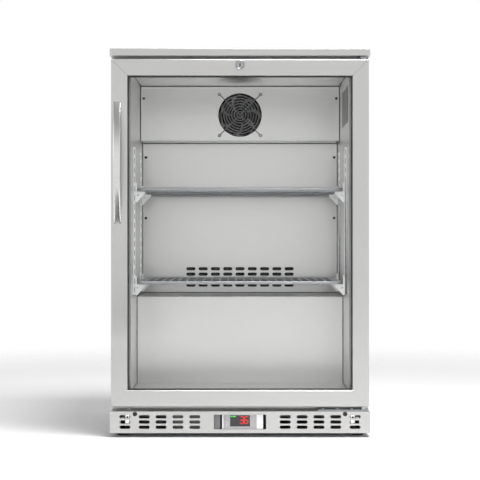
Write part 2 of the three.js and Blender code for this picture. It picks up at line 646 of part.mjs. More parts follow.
function buildLock() {
  const face = FACE_Y;
  const barrel = [
    [7.8, face - 2], [8.6, face - 2.8], [10.4, face - 2.8], [11.5, face - 1.6], [11.5, face - GAP],
    [9.6, face - GAP], [9.6, face + 15], [7.8, face + 15], [7.8, face - 2]];
  piece('lock_barrel', turnedAlongY(barrel, 0, LOCK_Z, 20), chrome);
  const cam = box([-5, 24], [face + 18, face + 21], [LOCK_Z - 5, LOCK_Z + 5]);
  const keyway = box([-1.4, 1.4], [face - 5, face + 5], [LOCK_Z - 3.8, LOCK_Z + 3.8]);
  const plug = rod(7.4, face - 1.8, face + 16, 0, LOCK_Z, 24);
  const tail = rod(4, face + 15, face + 22, 0, LOCK_Z, 12);
  piece('lock_cylinder', cut(join(plug, tail, cam), keyway), chrome);
}

// ---- controller in the plinth ----
function buildController() {
  const bottom = 19.3;
  const top = 52.3;
  const facia = [-37.5, 37.5];
  const faceY = FACE_Y + 2;
  const keyPocket = [9.6, 8.6];
  const keys = { key_up: [-30.3, 43], key_down: [-30.3, 29], key_set: [30.3, 43], key_power: [30.3, 29] };
  const around = ([x, z], [width, height], ys) =>
    box([x - width / 2, x + width / 2], ys, [z - height / 2, z + height / 2]);
  const pockets = Object.values(keys).map((place) => around(place, keyPocket, [faceY - 1, faceY + 3]));
  const window = box([-23, 23], [faceY - 1, faceY + 1.5], [25, 51]);
  const facePlate = box(facia, [faceY, faceY + 3.2], [bottom, top]);
  const body = box([-35.5, 35.5], [faceY + 3, faceY + 40], [22, 50.5]);
  const wings = [
    box([-41, -37], [faceY + 1, faceY + 20], [21.5, 51.5]),
    box([37, 53], [faceY + 2, faceY + 20], [22.5, 51.5])];
  piece('controller_housing', cut(join(facePlate, body, ...wings), window, ...pockets), greyPlastic);
  for (const [name, place] of Object.entries(keys)) {
    piece(name, around(place, [9, 8], [faceY - 0.2, faceY + 2.1]), greyPlastic);
  }
}

// ---- machine room ----
function buildMachineRoom() {
  const base = FLOOR_CLEARANCE + 3;
  const x = 110;
  const y = behind(MACHINE_DEPTH + 111);
  const shell = [
    [0, base + 18], [50, base + 18], [74, base + 26], [80, base + 42], [80, base + 96], [83, base + 98],
    [83, base + 104], [80, base + 106], [78, base + 140], [62, base + 166], [30, base + 176], [0, base + 178]];
  const plate = roundedRectangle(x - 88, x + 88, y - 62, y + 62, 8);
  piece('compressor', join(
    turned(shell, x, y, 16), planProfile(plate, base + 14, base + 19),
    ...[[-76, -50], [76, -50], [-76, 50], [76, 50]].map(([dx, dy]) =>
      post(9, base + GAP, base + 14.5, x + dx, y + dy, 10))), blackPaint);

  const coilX = -150;
  const coilY = y;
  const fins = planProfile(comb(18, 10, 1, 34), 32, 222).rotateZ(Math.PI / 2).translate(coilX, coilY, 0);
  const shroudX = coilX + 16;
  const half = 95;
  const shroud = polygon(
    [[coilY - half, 32], [coilY + half, 32], [coilY + half, 222], [coilY - half, 222]],
    [roundHole(coilY, 127, 84)]);
  const legs = [-half + 8, half - 20].map((dy) =>
    box([coilX - 12, coilX + 12], [coilY + dy, coilY + dy + 12], [base + GAP, 40]));
  const bars = [-40, 40].map((dz) =>
    box([shroudX + 34, shroudX + 38], [coilY - half, coilY + half], [127 + dz - 4, 127 + dz + 4]));
  const stays = [-half, half - 6].map((dy) =>
    box([shroudX + 1, shroudX + 38], [coilY + dy, coilY + dy + 6], [78, 176]));
  const motor = rod(30, 0, 30, 0, 0, 18)
    .rotateZ(-Math.PI / 2).translate(shroudX + 33, coilY, 127);
  const motorArms = box([shroudX + 33, shroudX + 38], [coilY - 10, coilY + 10], [85, 169]);
  piece('condenser_coil', join(
    fins, sideProfile(shroud, shroudX, shroudX + 2, 8), ...legs, ...bars, ...stays, motor, motorArms), aluminium);
  const rotor = fanRotor(24, 80, 18, 5, 0.35).rotate([0, 0, -90]).translate([shroudX + 18, coilY, 127]);
  piece('condenser_fan_rotor', rotor, aluminium);
}

function buildPowerInlet() {
  const y = REAR_Y - 14 - 0.3;
  const x = 215;
  const z = 90;
  const collar = [
    [0, y + GAP], [12, y + GAP], [12, y + 5], [9.5, y + 6], [9.5, y + 10], [7, y + 13], [4.2, y + 13],
    [4.2, y + 9], [0, y + 9]];
  piece('power_inlet', turnedAlongY(collar, x, z, 12), blackPlastic);
}

function buildFeet() {
  const bottom = FLOOR_CLEARANCE + 1;
  const shape = [[0, 0], [12.5, 0], [15.5, 3], [15.5, bottom], [4.8, bottom], [4.8, 38], [0, 38]];
  for (const [place, y] of Object.entries(FOOT_YS)) {
    for (const [name, side] of [['left', -1], ['right', 1]]) {
      piece(`foot_${place}_${name}`, turned(shape, side * FOOT_X, y, 12), blackPlastic);
    }
  }
}

buildWorktop();
buildSidePanels();
buildRear();
buildBase();
buildPlinth();
buildJamb();
buildInsulation();
buildLiner();
buildAirPanel();
buildEvaporator();
buildFanGuard();
buildPilasters();
buildShelfClips();
buildShelves();
buildHingeBrackets();
buildDoorFrame();
buildGlazing();
buildGasket();
buildHandle();
buildLock();
buildController();
buildMachineRoom();
buildPowerInlet();
buildFeet();

export default refrigerator;
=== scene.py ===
"""An undercounter refrigerator with one glass door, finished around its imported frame."""

import json
import math

import bmesh
import bpy
import numpy as np
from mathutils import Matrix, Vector


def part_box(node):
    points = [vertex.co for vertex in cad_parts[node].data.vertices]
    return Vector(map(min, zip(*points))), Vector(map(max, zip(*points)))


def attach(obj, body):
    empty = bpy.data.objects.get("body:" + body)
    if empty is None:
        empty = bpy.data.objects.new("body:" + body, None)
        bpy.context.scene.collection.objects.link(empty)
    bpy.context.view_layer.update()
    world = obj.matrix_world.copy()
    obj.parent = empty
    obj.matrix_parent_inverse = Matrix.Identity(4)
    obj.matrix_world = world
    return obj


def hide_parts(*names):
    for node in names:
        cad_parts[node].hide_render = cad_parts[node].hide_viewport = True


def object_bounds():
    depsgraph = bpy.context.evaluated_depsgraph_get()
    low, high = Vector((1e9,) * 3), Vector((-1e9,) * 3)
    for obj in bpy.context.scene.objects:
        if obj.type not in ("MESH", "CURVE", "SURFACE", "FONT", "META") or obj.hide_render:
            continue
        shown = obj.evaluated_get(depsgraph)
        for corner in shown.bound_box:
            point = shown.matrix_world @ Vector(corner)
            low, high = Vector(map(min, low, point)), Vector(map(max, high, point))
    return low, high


bl_info = {
    "name": "Undercounter Refrigerator",
    "version": (1, 0, 0),
    "blender": (4, 5, 0),
    "location": "3D View > Sidebar > Refrigerator",
    "description": "Builds the visible surfaces, finishes and studio of an undercounter refrigerator",
    "category": "Object",
}

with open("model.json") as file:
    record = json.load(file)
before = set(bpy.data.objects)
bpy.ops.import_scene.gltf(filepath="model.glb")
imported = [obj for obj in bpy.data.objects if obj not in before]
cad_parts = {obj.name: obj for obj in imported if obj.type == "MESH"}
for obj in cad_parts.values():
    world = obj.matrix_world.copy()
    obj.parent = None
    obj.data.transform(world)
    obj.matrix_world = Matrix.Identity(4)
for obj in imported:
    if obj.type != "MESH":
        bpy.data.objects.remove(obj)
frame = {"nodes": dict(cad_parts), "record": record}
CAD_BOX = [list(corner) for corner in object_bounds()]
BODY_OF = {node: body for body, nodes in frame["record"]["behaviour"]["bodies"].items() for node in nodes}
SLOT_OF = {row["node"]: row["material_slot"] for row in frame["record"]["subparts"]}
MM = 0.001
X, Y, Z = 0, 1, 2
SIDES = {"left": -1, "right": 1}
SHEET = 1.0 * MM
SEAM = 1.6 * MM
SHARP_ANGLE = math.radians(38)
PLINTH_COLUMNS = (0.1039, 0.1428, 0.1816, 0.2203, 0.2647)
PLINTH_ROWS = (0.0238, 0.0357, 0.0477)
PLUG_X, PLUG_Z = 0.2417, 0.054
PANEL_SCREW_X = 0.246
FAN_Z = 0.7736


# ---- settings ---------------------------------------------------------------------------------


def length(name, description, default):
    """A length property, in metres."""
    return bpy.props.FloatProperty(
        name=name, description=description, default=default, min=0.0, unit="LENGTH", precision=5)


def colour(name, description, default):
    """A colour property, in linear red, green and blue."""
    return bpy.props.FloatVectorProperty(
        name=name, description=description, default=default, min=0.0, max=1.0, size=3, subtype="COLOR")


class FridgeSizes(bpy.types.PropertyGroup):
    """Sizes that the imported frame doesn't hold."""

    fold: length("Fold radius", "Radius of a bend in sheet steel", 1.6 * MM)
    edge: length("Cut edge", "Rounding of a cut edge of sheet steel", 0.25 * MM)
    rim_wire: length("Shelf rim", "Diameter of the wire round a shelf", 8.0 * MM)
    shelf_wire: length("Shelf wire", "Diameter of the wires across a shelf", 3.6 * MM)
    guard_wire: length("Guard wire", "Diameter of the fan guard's wires", 2.7 * MM)
    screw_head: length("Screw head", "Diameter of a panel screw's head", 7.0 * MM)
    digit_height: length("Digit height", "Height of the figures on the display", 16.5 * MM)


class FridgeColours(bpy.types.PropertyGroup):
    """Colours of the finishes."""

    case: colour("Case steel", "Brushed steel outside", (0.548, 0.546, 0.540))
    liner: colour("Liner steel", "Polished steel of the storage room", (0.72, 0.72, 0.712))
    zinc: colour("Zinc", "Plated shelf supports and brackets", (0.92, 0.925, 0.93))
    coating: colour("Shelf coating", "Grey coating of the shelf wires", (0.40, 0.41, 0.43))
    facia: colour("Facia", "Front of the controller", (0.44, 0.43, 0.45))
    lit_red: colour("Figures", "Lit figures on the display", (0.85, 0.020, 0.018))
    lit_green: colour("Indicator", "Lit indicator on the display", (0.10, 0.75, 0.10))


class StudioSettings(bpy.types.PropertyGroup):
    """Camera and light."""

    distance: length("Camera distance", "From the middle of the object to the camera", 3.647)
    height: length("Camera height", "Above the floor", 0.4542)
    lens: bpy.props.FloatProperty(name="Lens", description="Focal length", default=111.0, unit="CAMERA")
    surround: bpy.props.FloatProperty(
        name="Surround", description="Brightness of the white surround", default=1.0, min=0.0)


def sizes():
    return bpy.context.scene.fridge_sizes


def colours():
    return bpy.context.scene.fridge_colours


def studio():
    return bpy.context.scene.fridge_studio


# ---- shader expressions -----------------------------------------------------------------------


class Value:
    """One socket of a shader. + and * with a number or another socket add Math nodes."""

    def __init__(self, shader, socket):
        self.shader = shader
        self.socket = socket

    def math(self, operation, *values):
        inputs = dict(enumerate(values))
        return self.shader.node("ShaderNodeMath", {"operation": operation}, inputs)["Value"]

    def __add__(self, other):
        return self.math("ADD", self, other)

    def __radd__(self, other):
        return self.math("ADD", other, self)

    def __mul__(self, other):
        return self.math("MULTIPLY", self, other)

    def __rmul__(self, other):
        return self.math("MULTIPLY", other, self)

    def above(self, edge, softness):
        """0 below the edge and 1 above it, with a smooth step of that width between them."""
        settings = {"interpolation_type": "SMOOTHSTEP"}
        inputs = {"Value": self, "From Min": edge - softness / 2, "From Max": edge + softness / 2}
        return self.shader.node("ShaderNodeMapRange", settings, inputs)["Result"]


class Outputs:
    """A node whose outputs are taken by name or number."""

    def __init__(self, shader, node):
        self.shader = shader
        self.sockets = node.outputs

    def __getitem__(self, key):
        return Value(self.shader, self.sockets[key])


class Shader:
    """A node tree while its nodes are being added."""

    def __init__(self, tree):
        self.tree = tree
        self.tree.nodes.clear()

    def node(self, kind, settings=None, inputs=None):
        """Adds a node of that type: first its settings, then the values or links of its sockets."""
        made = self.tree.nodes.new(kind)
        for name, value in (settings or {}).items():
            setattr(made, name, value)
        for name, value in (inputs or {}).items():
            socket = made.inputs[name]
            if isinstance(value, Value):
                self.tree.links.new(value.socket, socket)
            elif socket.type == "RGBA":
                socket.default_value = (*value, 1.0)
            else:
                socket.default_value = value
        return Outputs(self, made)

    def place(self, stretch):
        """Object coordinates in metres, multiplied along each axis."""
        here = self.node("ShaderNodeTexCoord")["Object"]
        return self.node("ShaderNodeVectorMath", {"operation": "MULTIPLY"}, {0: here, 1: stretch})["Vector"]

    def noise(self, cells, detail=2.0):
        """Noise from 0 to 1 with that many cells to the metre along each axis."""
        inputs = {"Vector": self.place(cells), "Scale": 1.0, "Detail": detail, "Roughness": 0.55}
        return self.node("ShaderNodeTexNoise", None, inputs)["Fac"]

    def crystals(self, cells):
        """A pattern of cells, that many to the metre: its colour and the distance from a cell's seed."""
        inputs = {"Vector": self.place(even(cells)), "Scale": 1.0}
        return self.node("ShaderNodeTexVoronoi", {"feature": "F1"}, inputs)

    def blend(self, factor, first, second):
        """From the first colour to the second as factor goes from 0 to 1."""
        return self.node("ShaderNodeMix", {"data_type": "RGBA"}, {0: factor, 6: first, 7: second})[2]

    def bump(self, height, strength, distance):
        inputs = {"Height": height, "Strength": strength, "Distance": distance}
        return self.node("ShaderNodeBump", None, inputs)["Normal"]

    def principled(self, **inputs):
        """A Principled shader. Underscores in the names stand for spaces."""
        named = {name.replace("_", " "): value for name, value in inputs.items()}
        return self.node("ShaderNodeBsdfPrincipled", None, named)["BSDF"]

    def surface(self, shader):
        self.node("ShaderNodeOutputMaterial", None, {"Surface": shader})


def tint(shade, factor):
    """A colour made lighter or darker."""
    return tuple(min(1.0, part * factor) for part in shade)


def even(cells):
    """The same number of cells along each axis."""
    return (cells, cells, cells)


# ---- finishes ---------------------------------------------------------------------------------


def brushed(s, shade, roughness, grain):
    """Ground steel. Fine scratches along one axis and broad clouds change its tone, gloss and slope."""
    cells = [1500.0, 1500.0, 1500.0]
    cells[grain] = 14.0
    scratch = s.noise(tuple(cells))
    cloud = s.noise(even(5.0), 3.0)
    tone = s.blend(0.6 * scratch + 0.4 * cloud, tint(shade, 0.90), tint(shade, 1.10))
    gloss = (roughness - 0.09) + 0.10 * scratch + 0.08 * cloud
    slope = s.bump(scratch, 0.10, 0.05 * MM)
    s.surface(s.principled(Base_Color=tone, Metallic=1.0, Roughness=gloss, Normal=slope))


def case_steel(s):
    brushed(s, tuple(colours().case), 0.34, X)


def case_steel_upright(s):
    brushed(s, tuple(colours().case), 0.34, Z)


def liner_steel(s):
    brushed(s, tuple(colours().liner), 0.31, X)


def handle_steel(s):
    brushed(s, tint(colours().case, 1.25), 0.20, Z)


def plated(s, shade, roughness, cells):
    """Plated metal, with soft clouds in its tone and gloss and a slightly uneven surface."""
    cloud = s.noise(even(cells), 3.0)
    tone = s.blend(cloud, tint(shade, 0.88), tint(shade, 1.08))
    gloss = (roughness - 0.06) + 0.12 * cloud
    slope = s.bump(s.noise(even(900.0)), 0.06, 0.05 * MM)
    s.surface(s.principled(Base_Color=tone, Metallic=1.0, Roughness=gloss, Normal=slope))


def zinc_plate(s):
    plated(s, tuple(colours().zinc), 0.34, 60.0)


def chrome(s):
    plated(s, (0.44, 0.44, 0.45), 0.20, 120.0)


def bare_aluminium(s):
    plated(s, (0.66, 0.67, 0.69), 0.38, 40.0)


def copper_pipe(s):
    plated(s, (0.62, 0.27, 0.14), 0.30, 90.0)


def galvanised_steel(s):
    """Zinc flowers: each cell of a crystal pattern has its own tone and gloss."""
    flower = s.node("ShaderNodeSeparateColor", None, {"Color": s.crystals(70.0)["Color"]})["Red"]
    streak = s.noise((300.0, 300.0, 60.0))
    tone = s.blend(0.7 * flower + 0.3 * streak, (0.36, 0.38, 0.40), (0.56, 0.58, 0.60))
    gloss = 0.36 + 0.16 * flower
    slope = s.bump(flower, 0.05, 0.1 * MM)
    s.surface(s.principled(Base_Color=tone, Metallic=1.0, Roughness=gloss, Normal=slope))


def moulded(s, shade, roughness, texture, shine=0.5):
    """Moulded plastic with a fine spark-eroded texture and faint flow marks."""
    grain = s.noise(even(2600.0))
    flow = s.noise(even(24.0), 3.0)
    tone = s.blend(flow, tint(shade, 0.86), tint(shade, 1.14))
    gloss = (roughness - 0.06) + 0.07 * grain + 0.05 * flow
    slope = s.bump(grain, texture, 0.06 * MM)
    s.surface(s.principled(Base_Color=tone, Roughness=gloss, Normal=slope, Specular_IOR_Level=shine))


def black_plastic(s):
    moulded(s, (0.012, 0.012, 0.013), 0.42, 0.5)


def fan_plastic(s):
    moulded(s, (0.003, 0.003, 0.004), 0.62, 0.3, 0.15)


def grey_plastic(s):
    moulded(s, tuple(colours().facia), 0.40, 0.35)


def dark_plastic(s):
    moulded(s, (0.17, 0.17, 0.175), 0.45, 0.4)


def pale_print(s):
    moulded(s, tint(colours().facia, 1.25), 0.40, 0.3)


def white_plastic(s):
    moulded(s, (0.80, 0.81, 0.82), 0.38, 0.3)


def black_rubber(s):
    """Soft rubber, dull, with a dusty bloom."""
    bloom = s.noise(even(30.0), 4.0)
    tone = s.blend(bloom, (0.020, 0.020, 0.021), (0.040, 0.040, 0.042))
    slope = s.bump(s.noise(even(1500.0)), 0.3, 0.1 * MM)
    s.surface(s.principled(Base_Color=tone, Roughness=0.62 + 0.16 * bloom, Normal=slope))


def black_paint(s):
    """Stoved enamel with orange peel under a clear gloss."""
    peel = s.noise(even(420.0))
    wear = s.noise(even(18.0), 4.0)
    tone = s.blend(wear, (0.009, 0.009, 0.010), (0.022, 0.022, 0.024))
    slope = s.bump(peel, 0.25, 0.15 * MM)
    s.surface(s.principled(
        Base_Color=tone, Roughness=0.28 + 0.18 * wear, Normal=slope, Coat_Weight=0.4, Coat_Roughness=0.12))


def grey_coating(s):
    """Powder coating on wire, slightly uneven in tone and gloss."""
    peel = s.noise(even(700.0))
    cloud = s.noise(even(16.0), 3.0)
    tone = s.blend(cloud, tint(colours().coating, 0.90), tint(colours().coating, 1.10))
    slope = s.bump(peel, 0.2, 0.08 * MM)
    s.surface(s.principled(
        Base_Color=tone, Metallic=0.6, Roughness=0.32 + 0.12 * cloud, Normal=slope, Coat_Weight=0.3,
        Coat_Roughness=0.30))


def guard_wire(s):
    """Dark coated wire, worn a little brighter on its high spots."""
    wear = s.noise(even(110.0), 3.0)
    tone = s.blend(wear.above(0.58, 0.2), (0.26, 0.26, 0.265), (0.36, 0.36, 0.365))
    slope = s.bump(s.noise(even(800.0)), 0.2, 0.08 * MM)
    s.surface(s.principled(Base_Color=tone, Metallic=0.5, Roughness=0.30 + 0.16 * wear, Normal=slope))


def insulation_foam(s):
    """Rigid foam, pale yellow, with open cells on its cut faces."""
    cells = s.crystals(500.0)["Distance"]
    cloud = s.noise(even(12.0), 4.0)
    tone = s.blend(0.6 * cloud + 0.4 * cells, (0.50, 0.40, 0.18), (0.78, 0.68, 0.40))
    slope = s.bump(cells, 0.6, 0.6 * MM)
    s.surface(s.principled(Base_Color=tone, Roughness=0.86 + 0.10 * cloud, Normal=slope))


def clear_glass(s):
    """Clear flat glass: it lets light through and mirrors more of it towards a glancing angle."""
    film = s.noise(even(9.0), 3.0)
    through = s.node("ShaderNodeBsdfTransparent", None, {"Color": (0.985, 0.986, 0.985)})["BSDF"]
    polish = {"Color": even(1.0), "Roughness": 0.02 + 0.02 * film}
    mirror = s.node("ShaderNodeBsdfGlossy", None, polish)["BSDF"]
    share = s.node("ShaderNodeFresnel", None, {"IOR": 1.45})[0]
    mixed = s.node("ShaderNodeMixShader", None, {0: share * 0.08, 1: through, 2: mirror})["Shader"]
    s.surface(mixed)


def display_black(s):
    """Smoked front of the display, glossy, with a trace of dust."""
    dust = s.noise(even(900.0), 4.0).above(0.66, 0.2)
    tone = s.blend(dust, (0.006, 0.006, 0.008), (0.020, 0.020, 0.022))
    s.surface(s.principled(
        Base_Color=tone, Roughness=0.10 + 0.25 * dust, Coat_Weight=0.6, Coat_Roughness=0.05))


def lit(s, shade, power):
    """A lit segment, brightest in blotches where the lamps behind it sit."""
    glow = s.noise(even(350.0))
    light = s.blend(glow, tint(shade, 0.75), tint(shade, 1.0))
    s.surface(s.principled(
        Base_Color=tint(shade, 0.5), Roughness=0.4, Emission_Color=light, Emission_Strength=power))


def lit_red(s):
    lit(s, tuple(colours().lit_red), 0.8)


def lit_green(s):
    lit(s, tuple(colours().lit_green), 0.9)


def plate_print(s):
    """Blank rating plate: satin foil, a little darker in patches."""
    plated(s, (0.24, 0.24, 0.24), 0.40, 26.0)


FINISHES = {maker.__name__: maker for maker in (
    case_steel, case_steel_upright, liner_steel, handle_steel, zinc_plate, chrome, bare_aluminium,
    copper_pipe, galvanised_steel, black_plastic, fan_plastic, grey_plastic, dark_plastic, pale_print,
    white_plastic, black_rubber, black_paint, grey_coating, guard_wire, insulation_foam, clear_glass,
    display_black, lit_red, lit_green, plate_print)}


def material(name):
    """The finish of that name, made the first time it is asked for."""
    made = bpy.data.materials.get(f"{name}_finish")
    if made is None:
        made = bpy.data.materials.new(f"{name}_finish")
        made.use_nodes = True
        FINISHES[name](Shader(made.node_tree))
    return made


# ---- surfaces ---------------------------------------------------------------------------------


def unit(vectors):
    """Vectors scaled to a length of 1."""
    return vectors / np.maximum(np.linalg.norm(vectors, axis=-1, keepdims=True), 1e-12)


def others(axis):
    """The two axes across an axis."""
    return [other for other in (X, Y, Z) if other != axis]


def around(sides):
    """Angles evenly round a circle."""
    return np.arange(sides) * 2 * math.pi / sides


def circle(radius, sides=12):
    return radius * np.stack([np.cos(around(sides)), np.sin(around(sides))], -1)


def loft(loops, closed=False):
    """Closed loops of points joined one to the next, with a flat cap on each end unless they close."""
    loops = np.asarray(loops, float)
    rows, columns = loops.shape[:2]
    row, column = np.meshgrid(np.arange(rows if closed else rows - 1), np.arange(columns), indexing="ij")
    here, ahead = row * columns, (row + 1) % rows * columns
    beside = (column + 1) % columns
    quads = np.stack([here + column, here + beside, ahead + beside, ahead + column], -1)
    faces = quads.reshape(-1, 4).tolist()
    if not closed:
        faces.append(list(range(columns))[::-1])
        faces.append(list(range((rows - 1) * columns, rows * columns)))
    return loops.reshape(-1, 3), faces


def stand(section, axis, level):
    """A flat section placed across an axis, at that level on it."""
    return np.insert(np.asarray(section, float), axis, level, axis=1)


def placed_about(points, centre, axis):
    """Points given as (across, up, along an axis), placed about a centre."""
    order = [*others(axis), axis]
    placed = np.empty(points.shape)
    placed[..., order] = points + np.array(centre)[order]
    return placed


def prism(section, axis, low, high):
    """A flat section carried straight along an axis."""
    return loft([stand(section, axis, low), stand(section, axis, high)])


def block(x, y, z, edge):
    """A block with round upright edges and small chamfers, for trim: loops inset at each end."""
    steps = [(edge, z[0]), (0.0, z[0] + edge), (0.0, z[1] - edge), (edge, z[1])]
    return loft([
        stand(rounded_rectangle(x[0] + inset, x[1] - inset, y[0] + inset, y[1] - inset, edge), Z, level)
        for inset, level in steps])


def lathe(profile, centre, axis, sides=48, closed=False):
    """A profile of (radius, height) turned about the line through centre along an axis."""
    radius, height = profile[:, :1], profile[:, 1:]
    turn = around(sides)
    points = np.stack(np.broadcast_arrays(radius * np.cos(turn), radius * np.sin(turn), height), -1)
    return loft(placed_about(points, centre, axis), closed)


def flute(points, centre, axis, count, reach):
    """Moves points out and in round an axis by reach(radius) * cos(count * angle)."""
    plane = others(axis)
    rim = points[:, plane] - np.array(centre)[plane]
    radius = np.linalg.norm(rim, axis=1, keepdims=True)
    angle = np.arctan2(rim[:, 1:], rim[:, :1])
    points[:, plane] += unit(rim) * reach(radius) * np.cos(count * angle)


def sweep(path, section, side, closed=False):
    """A section (u, v) carried along a path. A point is path + across u + over v: across is at right
    angles to the path and to the side vector, and over at right angles to the path and to across."""
    path = np.asarray(path, float)
    ahead = np.roll(path, -1, 0) - np.roll(path, 1, 0) if closed else np.gradient(path, axis=0)
    along = unit(ahead)
    across = unit(np.cross(along, side))
    over = np.cross(across, along)
    u, v = section[None, :, :1], section[None, :, 1:]
    loops = path[:, None] + across[:, None] * u + over[:, None] * v
    return loft(loops, closed)


def eased(points, radius, steps=5, closed=False):
    """A broken line whose corners are eased. Each becomes the curve (1-t)^2 a + 2t(1-t) corner + t^2 b,
    from a, a radius before the corner, to b, a radius after it."""
    points = np.asarray(points, float)
    corner = points if closed else points[1:-1]
    before = np.roll(points, 1, 0) if closed else points[:-2]
    after = np.roll(points, -1, 0) if closed else points[2:]
    start = corner + radius * unit(before - corner)
    end = corner + radius * unit(after - corner)
    t = np.linspace(0, 1, steps)[None, :, None]
    arcs = (1 - t) ** 2 * start[:, None] + 2 * t * (1 - t) * corner[:, None] + t ** 2 * end[:, None]
    arcs = arcs.reshape(-1, points.shape[1])
    return arcs if closed else np.concatenate([points[:1], arcs, points[-1:]])


def strip(line, thickness):
    """The closed section of a sheet of that thickness whose middle follows a line."""
    along = unit(np.gradient(line, axis=0))
    across = np.stack([-along[:, 1], along[:, 0]], -1) * thickness / 2
    return np.concatenate([line + across, (line - across)[::-1]])


def rounded_rectangle(x0, x1, y0, y1, radius, steps=6):
    """Points round a rectangle whose corners are quarter circles."""
    angle = math.pi + np.arange(4)[:, None] * math.pi / 2 + np.linspace(0, math.pi / 2, steps)
    centre_x = np.array([x0 + radius, x1 - radius, x1 - radius, x0 + radius])[:, None]
    centre_y = np.array([y0 + radius, y0 + radius, y1 - radius, y1 - radius])[:, None]
    points = np.stack([centre_x + radius * np.cos(angle), centre_y + radius * np.sin(angle)], -1)
    return points.reshape(-1, 2)


def inside(low, high, axis, inset, radius, steps=6):
    """The rounded outline of a box across an axis, moved in by inset."""
    first, second = others(axis)
    return rounded_rectangle(
        low[first] + inset, high[first] - inset, low[second] + inset, high[second] - inset, radius, steps)


def slot_hole(x, y, width, height):
    """Points round a slot with round ends."""
    radius = min(width, height) / 2
    return rounded_rectangle(x - width / 2, x + width / 2, y - height / 2, y + height / 2, radius * 0.999)


def round_hole(x, y, radius, sides=48):
    return np.array([x, y]) + circle(radius, sides)


def sheet_cut(outline, holes, axis, low, high, edge):
    """A sheet across an axis, cut to an outline with holes, its edges rounded by edge."""
    curve = bpy.data.curves.new("cut_sheet", "CURVE")
    curve.dimensions = "2D"
    curve.fill_mode = "BOTH"
    curve.extrude = (high - low) / 2 - edge
    curve.bevel_depth = edge
    curve.bevel_resolution = 1
    curve.offset = -edge
    for line in [outline, *holes]:
        spline = curve.splines.new("POLY")
        spline.points.add(len(line) - 1)
        spline.points.foreach_set("co", np.pad(line, ((0, 0), (0, 2))).ravel())
        spline.use_cyclic_u = True
    flat = bpy.data.objects.new("cut_sheet", curve)
    mesh = bpy.data.meshes.new_from_object(flat)
    bpy.data.objects.remove(flat)
    points = np.empty(len(mesh.vertices) * 3)
    mesh.vertices.foreach_get("co", points)
    points = points.reshape(-1, 3)
    faces = [list(face.vertices) for face in mesh.polygons]
    placed = np.empty_like(points)
    placed[:, others(axis)] = points[:, :2]
    placed[:, axis] = points[:, 2] + (low + high) / 2
    bpy.data.meshes.remove(mesh)
    return placed, faces


# ---- pieces -----------------------------------------------------------------------------------


def finished(name, mesh, body, finish, nodes, width=0.0, segments=2):
    """Puts a mesh on a body, with its finish, rounded edges and even shading."""
    piece = bpy.data.objects.new(name, mesh)
    bpy.context.scene.collection.objects.link(piece)
    mesh.materials.clear()
    mesh.materials.append(material(finish))
    mesh.shade_smooth()
    mesh.set_sharp_from_angle(angle=SHARP_ANGLE)
    if width:
        rounding = piece.modifiers.new("rounded_edges", "BEVEL")
        rounding.width = width
        rounding.segments = segments
        rounding.limit_method = "ANGLE"
        rounding.angle_limit = SHARP_ANGLE
        rounding.harden_normals = False
        mesh.set_sharp_from_angle(angle=math.pi)
    piece.modifiers.new("even_shading", "WEIGHTED_NORMAL").keep_sharp = True
    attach(piece, body)
    if nodes:
        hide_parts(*nodes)


def clean(shape, tolerance):
    """Joins a shape's doubles and points its faces outwards."""
    bmesh.ops.remove_doubles(shape, verts=shape.verts, dist=tolerance)
    bmesh.ops.recalc_face_normals(shape, faces=shape.faces)


def build(name, shells, finish, nodes=(), body="cabinet", slot=None):
    """A new piece made of one or more shells. If it stands for nodes, its body is theirs. The slot argument
    is not used.
    """
    shape = bmesh.new()
    for points, faces in shells:
        part = bpy.data.meshes.new(name)
        part.from_pydata(points.tolist(), [], faces)
        shell = bmesh.new()
        shell.from_mesh(part)
        clean(shell, 2e-6)
        shell.to_mesh(part)
        shell.free()
        shape.from_mesh(part)
        bpy.data.meshes.remove(part)
    mesh = bpy.data.meshes.new(name)
    shape.to_mesh(mesh)
    shape.free()
    if nodes:
        body, slot = BODY_OF[nodes[0]], SLOT_OF[nodes[0]]
    finished(name, mesh, body, finish, nodes)


def refine(node, width, finish=None, segments=2):
    """A copy of a CAD piece with merged points, whole flat faces and rounded edges."""
    shape = bmesh.new()
    shape.from_mesh(frame["nodes"][node].data)
    clean(shape, 10e-6)
    bmesh.ops.dissolve_limit(
        shape, angle_limit=math.radians(0.5), use_dissolve_boundaries=False, verts=shape.verts,
        edges=shape.edges)
    mesh = bpy.data.meshes.new(f"{node}_finished")
    shape.to_mesh(mesh)
    shape.free()
    slot = SLOT_OF[node]
    finished(mesh.name, mesh, BODY_OF[node], finish or slot, [node], width, segments)


def dress(node, finish=None):
    """Gives a CAD piece that keeps its own shape its finish."""
    mesh = frame["nodes"][node].data
    mesh.materials.clear()
    mesh.materials.append(material(finish or SLOT_OF[node]))


def screw_head(place, axis, outwards, radius, height):
    """A pan head on a polar grid. At a share r of the radius it stands height (1 - r^4)^0.5, less the depth
    of a cross that is sunk where the smaller of |x| and |y| is small and r is under 0.6."""
    r = np.append(np.linspace(0, 0.9, 10), [0.96, 1.0, 1.0])[:, None]
    angle = around(40)[None, :]
    u, v = r * np.cos(angle), r * np.sin(angle)
    cross = np.clip((0.15 - np.minimum(abs(u), abs(v))) / 0.05, 0, 1) * np.clip((0.62 - r) / 0.08, 0, 1)
    rise = height * (0.25 + 0.75 * np.sqrt(np.maximum(1 - r ** 4, 0))) - 0.55 * height * cross
    rise[-1] = 0.0
    points = np.stack([radius * u, radius * v, outwards * rise], -1)
    return loft(placed_about(points, place, axis))


def screws(name, places, axis, outwards, finish, radius=None, height=1.8 * MM):
    """Screw heads that stand on a face of the cabinet, as one piece."""
    radius = radius or sizes().screw_head / 2
    heads = [screw_head(place, axis, outwards, radius, height) for place in places]
    build(name, heads, finish, slot="zinc_plate")


def corners(node):
    """A node's lowest and highest corner, as arrays."""
    low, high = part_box(node)
    return np.array(low), np.array(high)


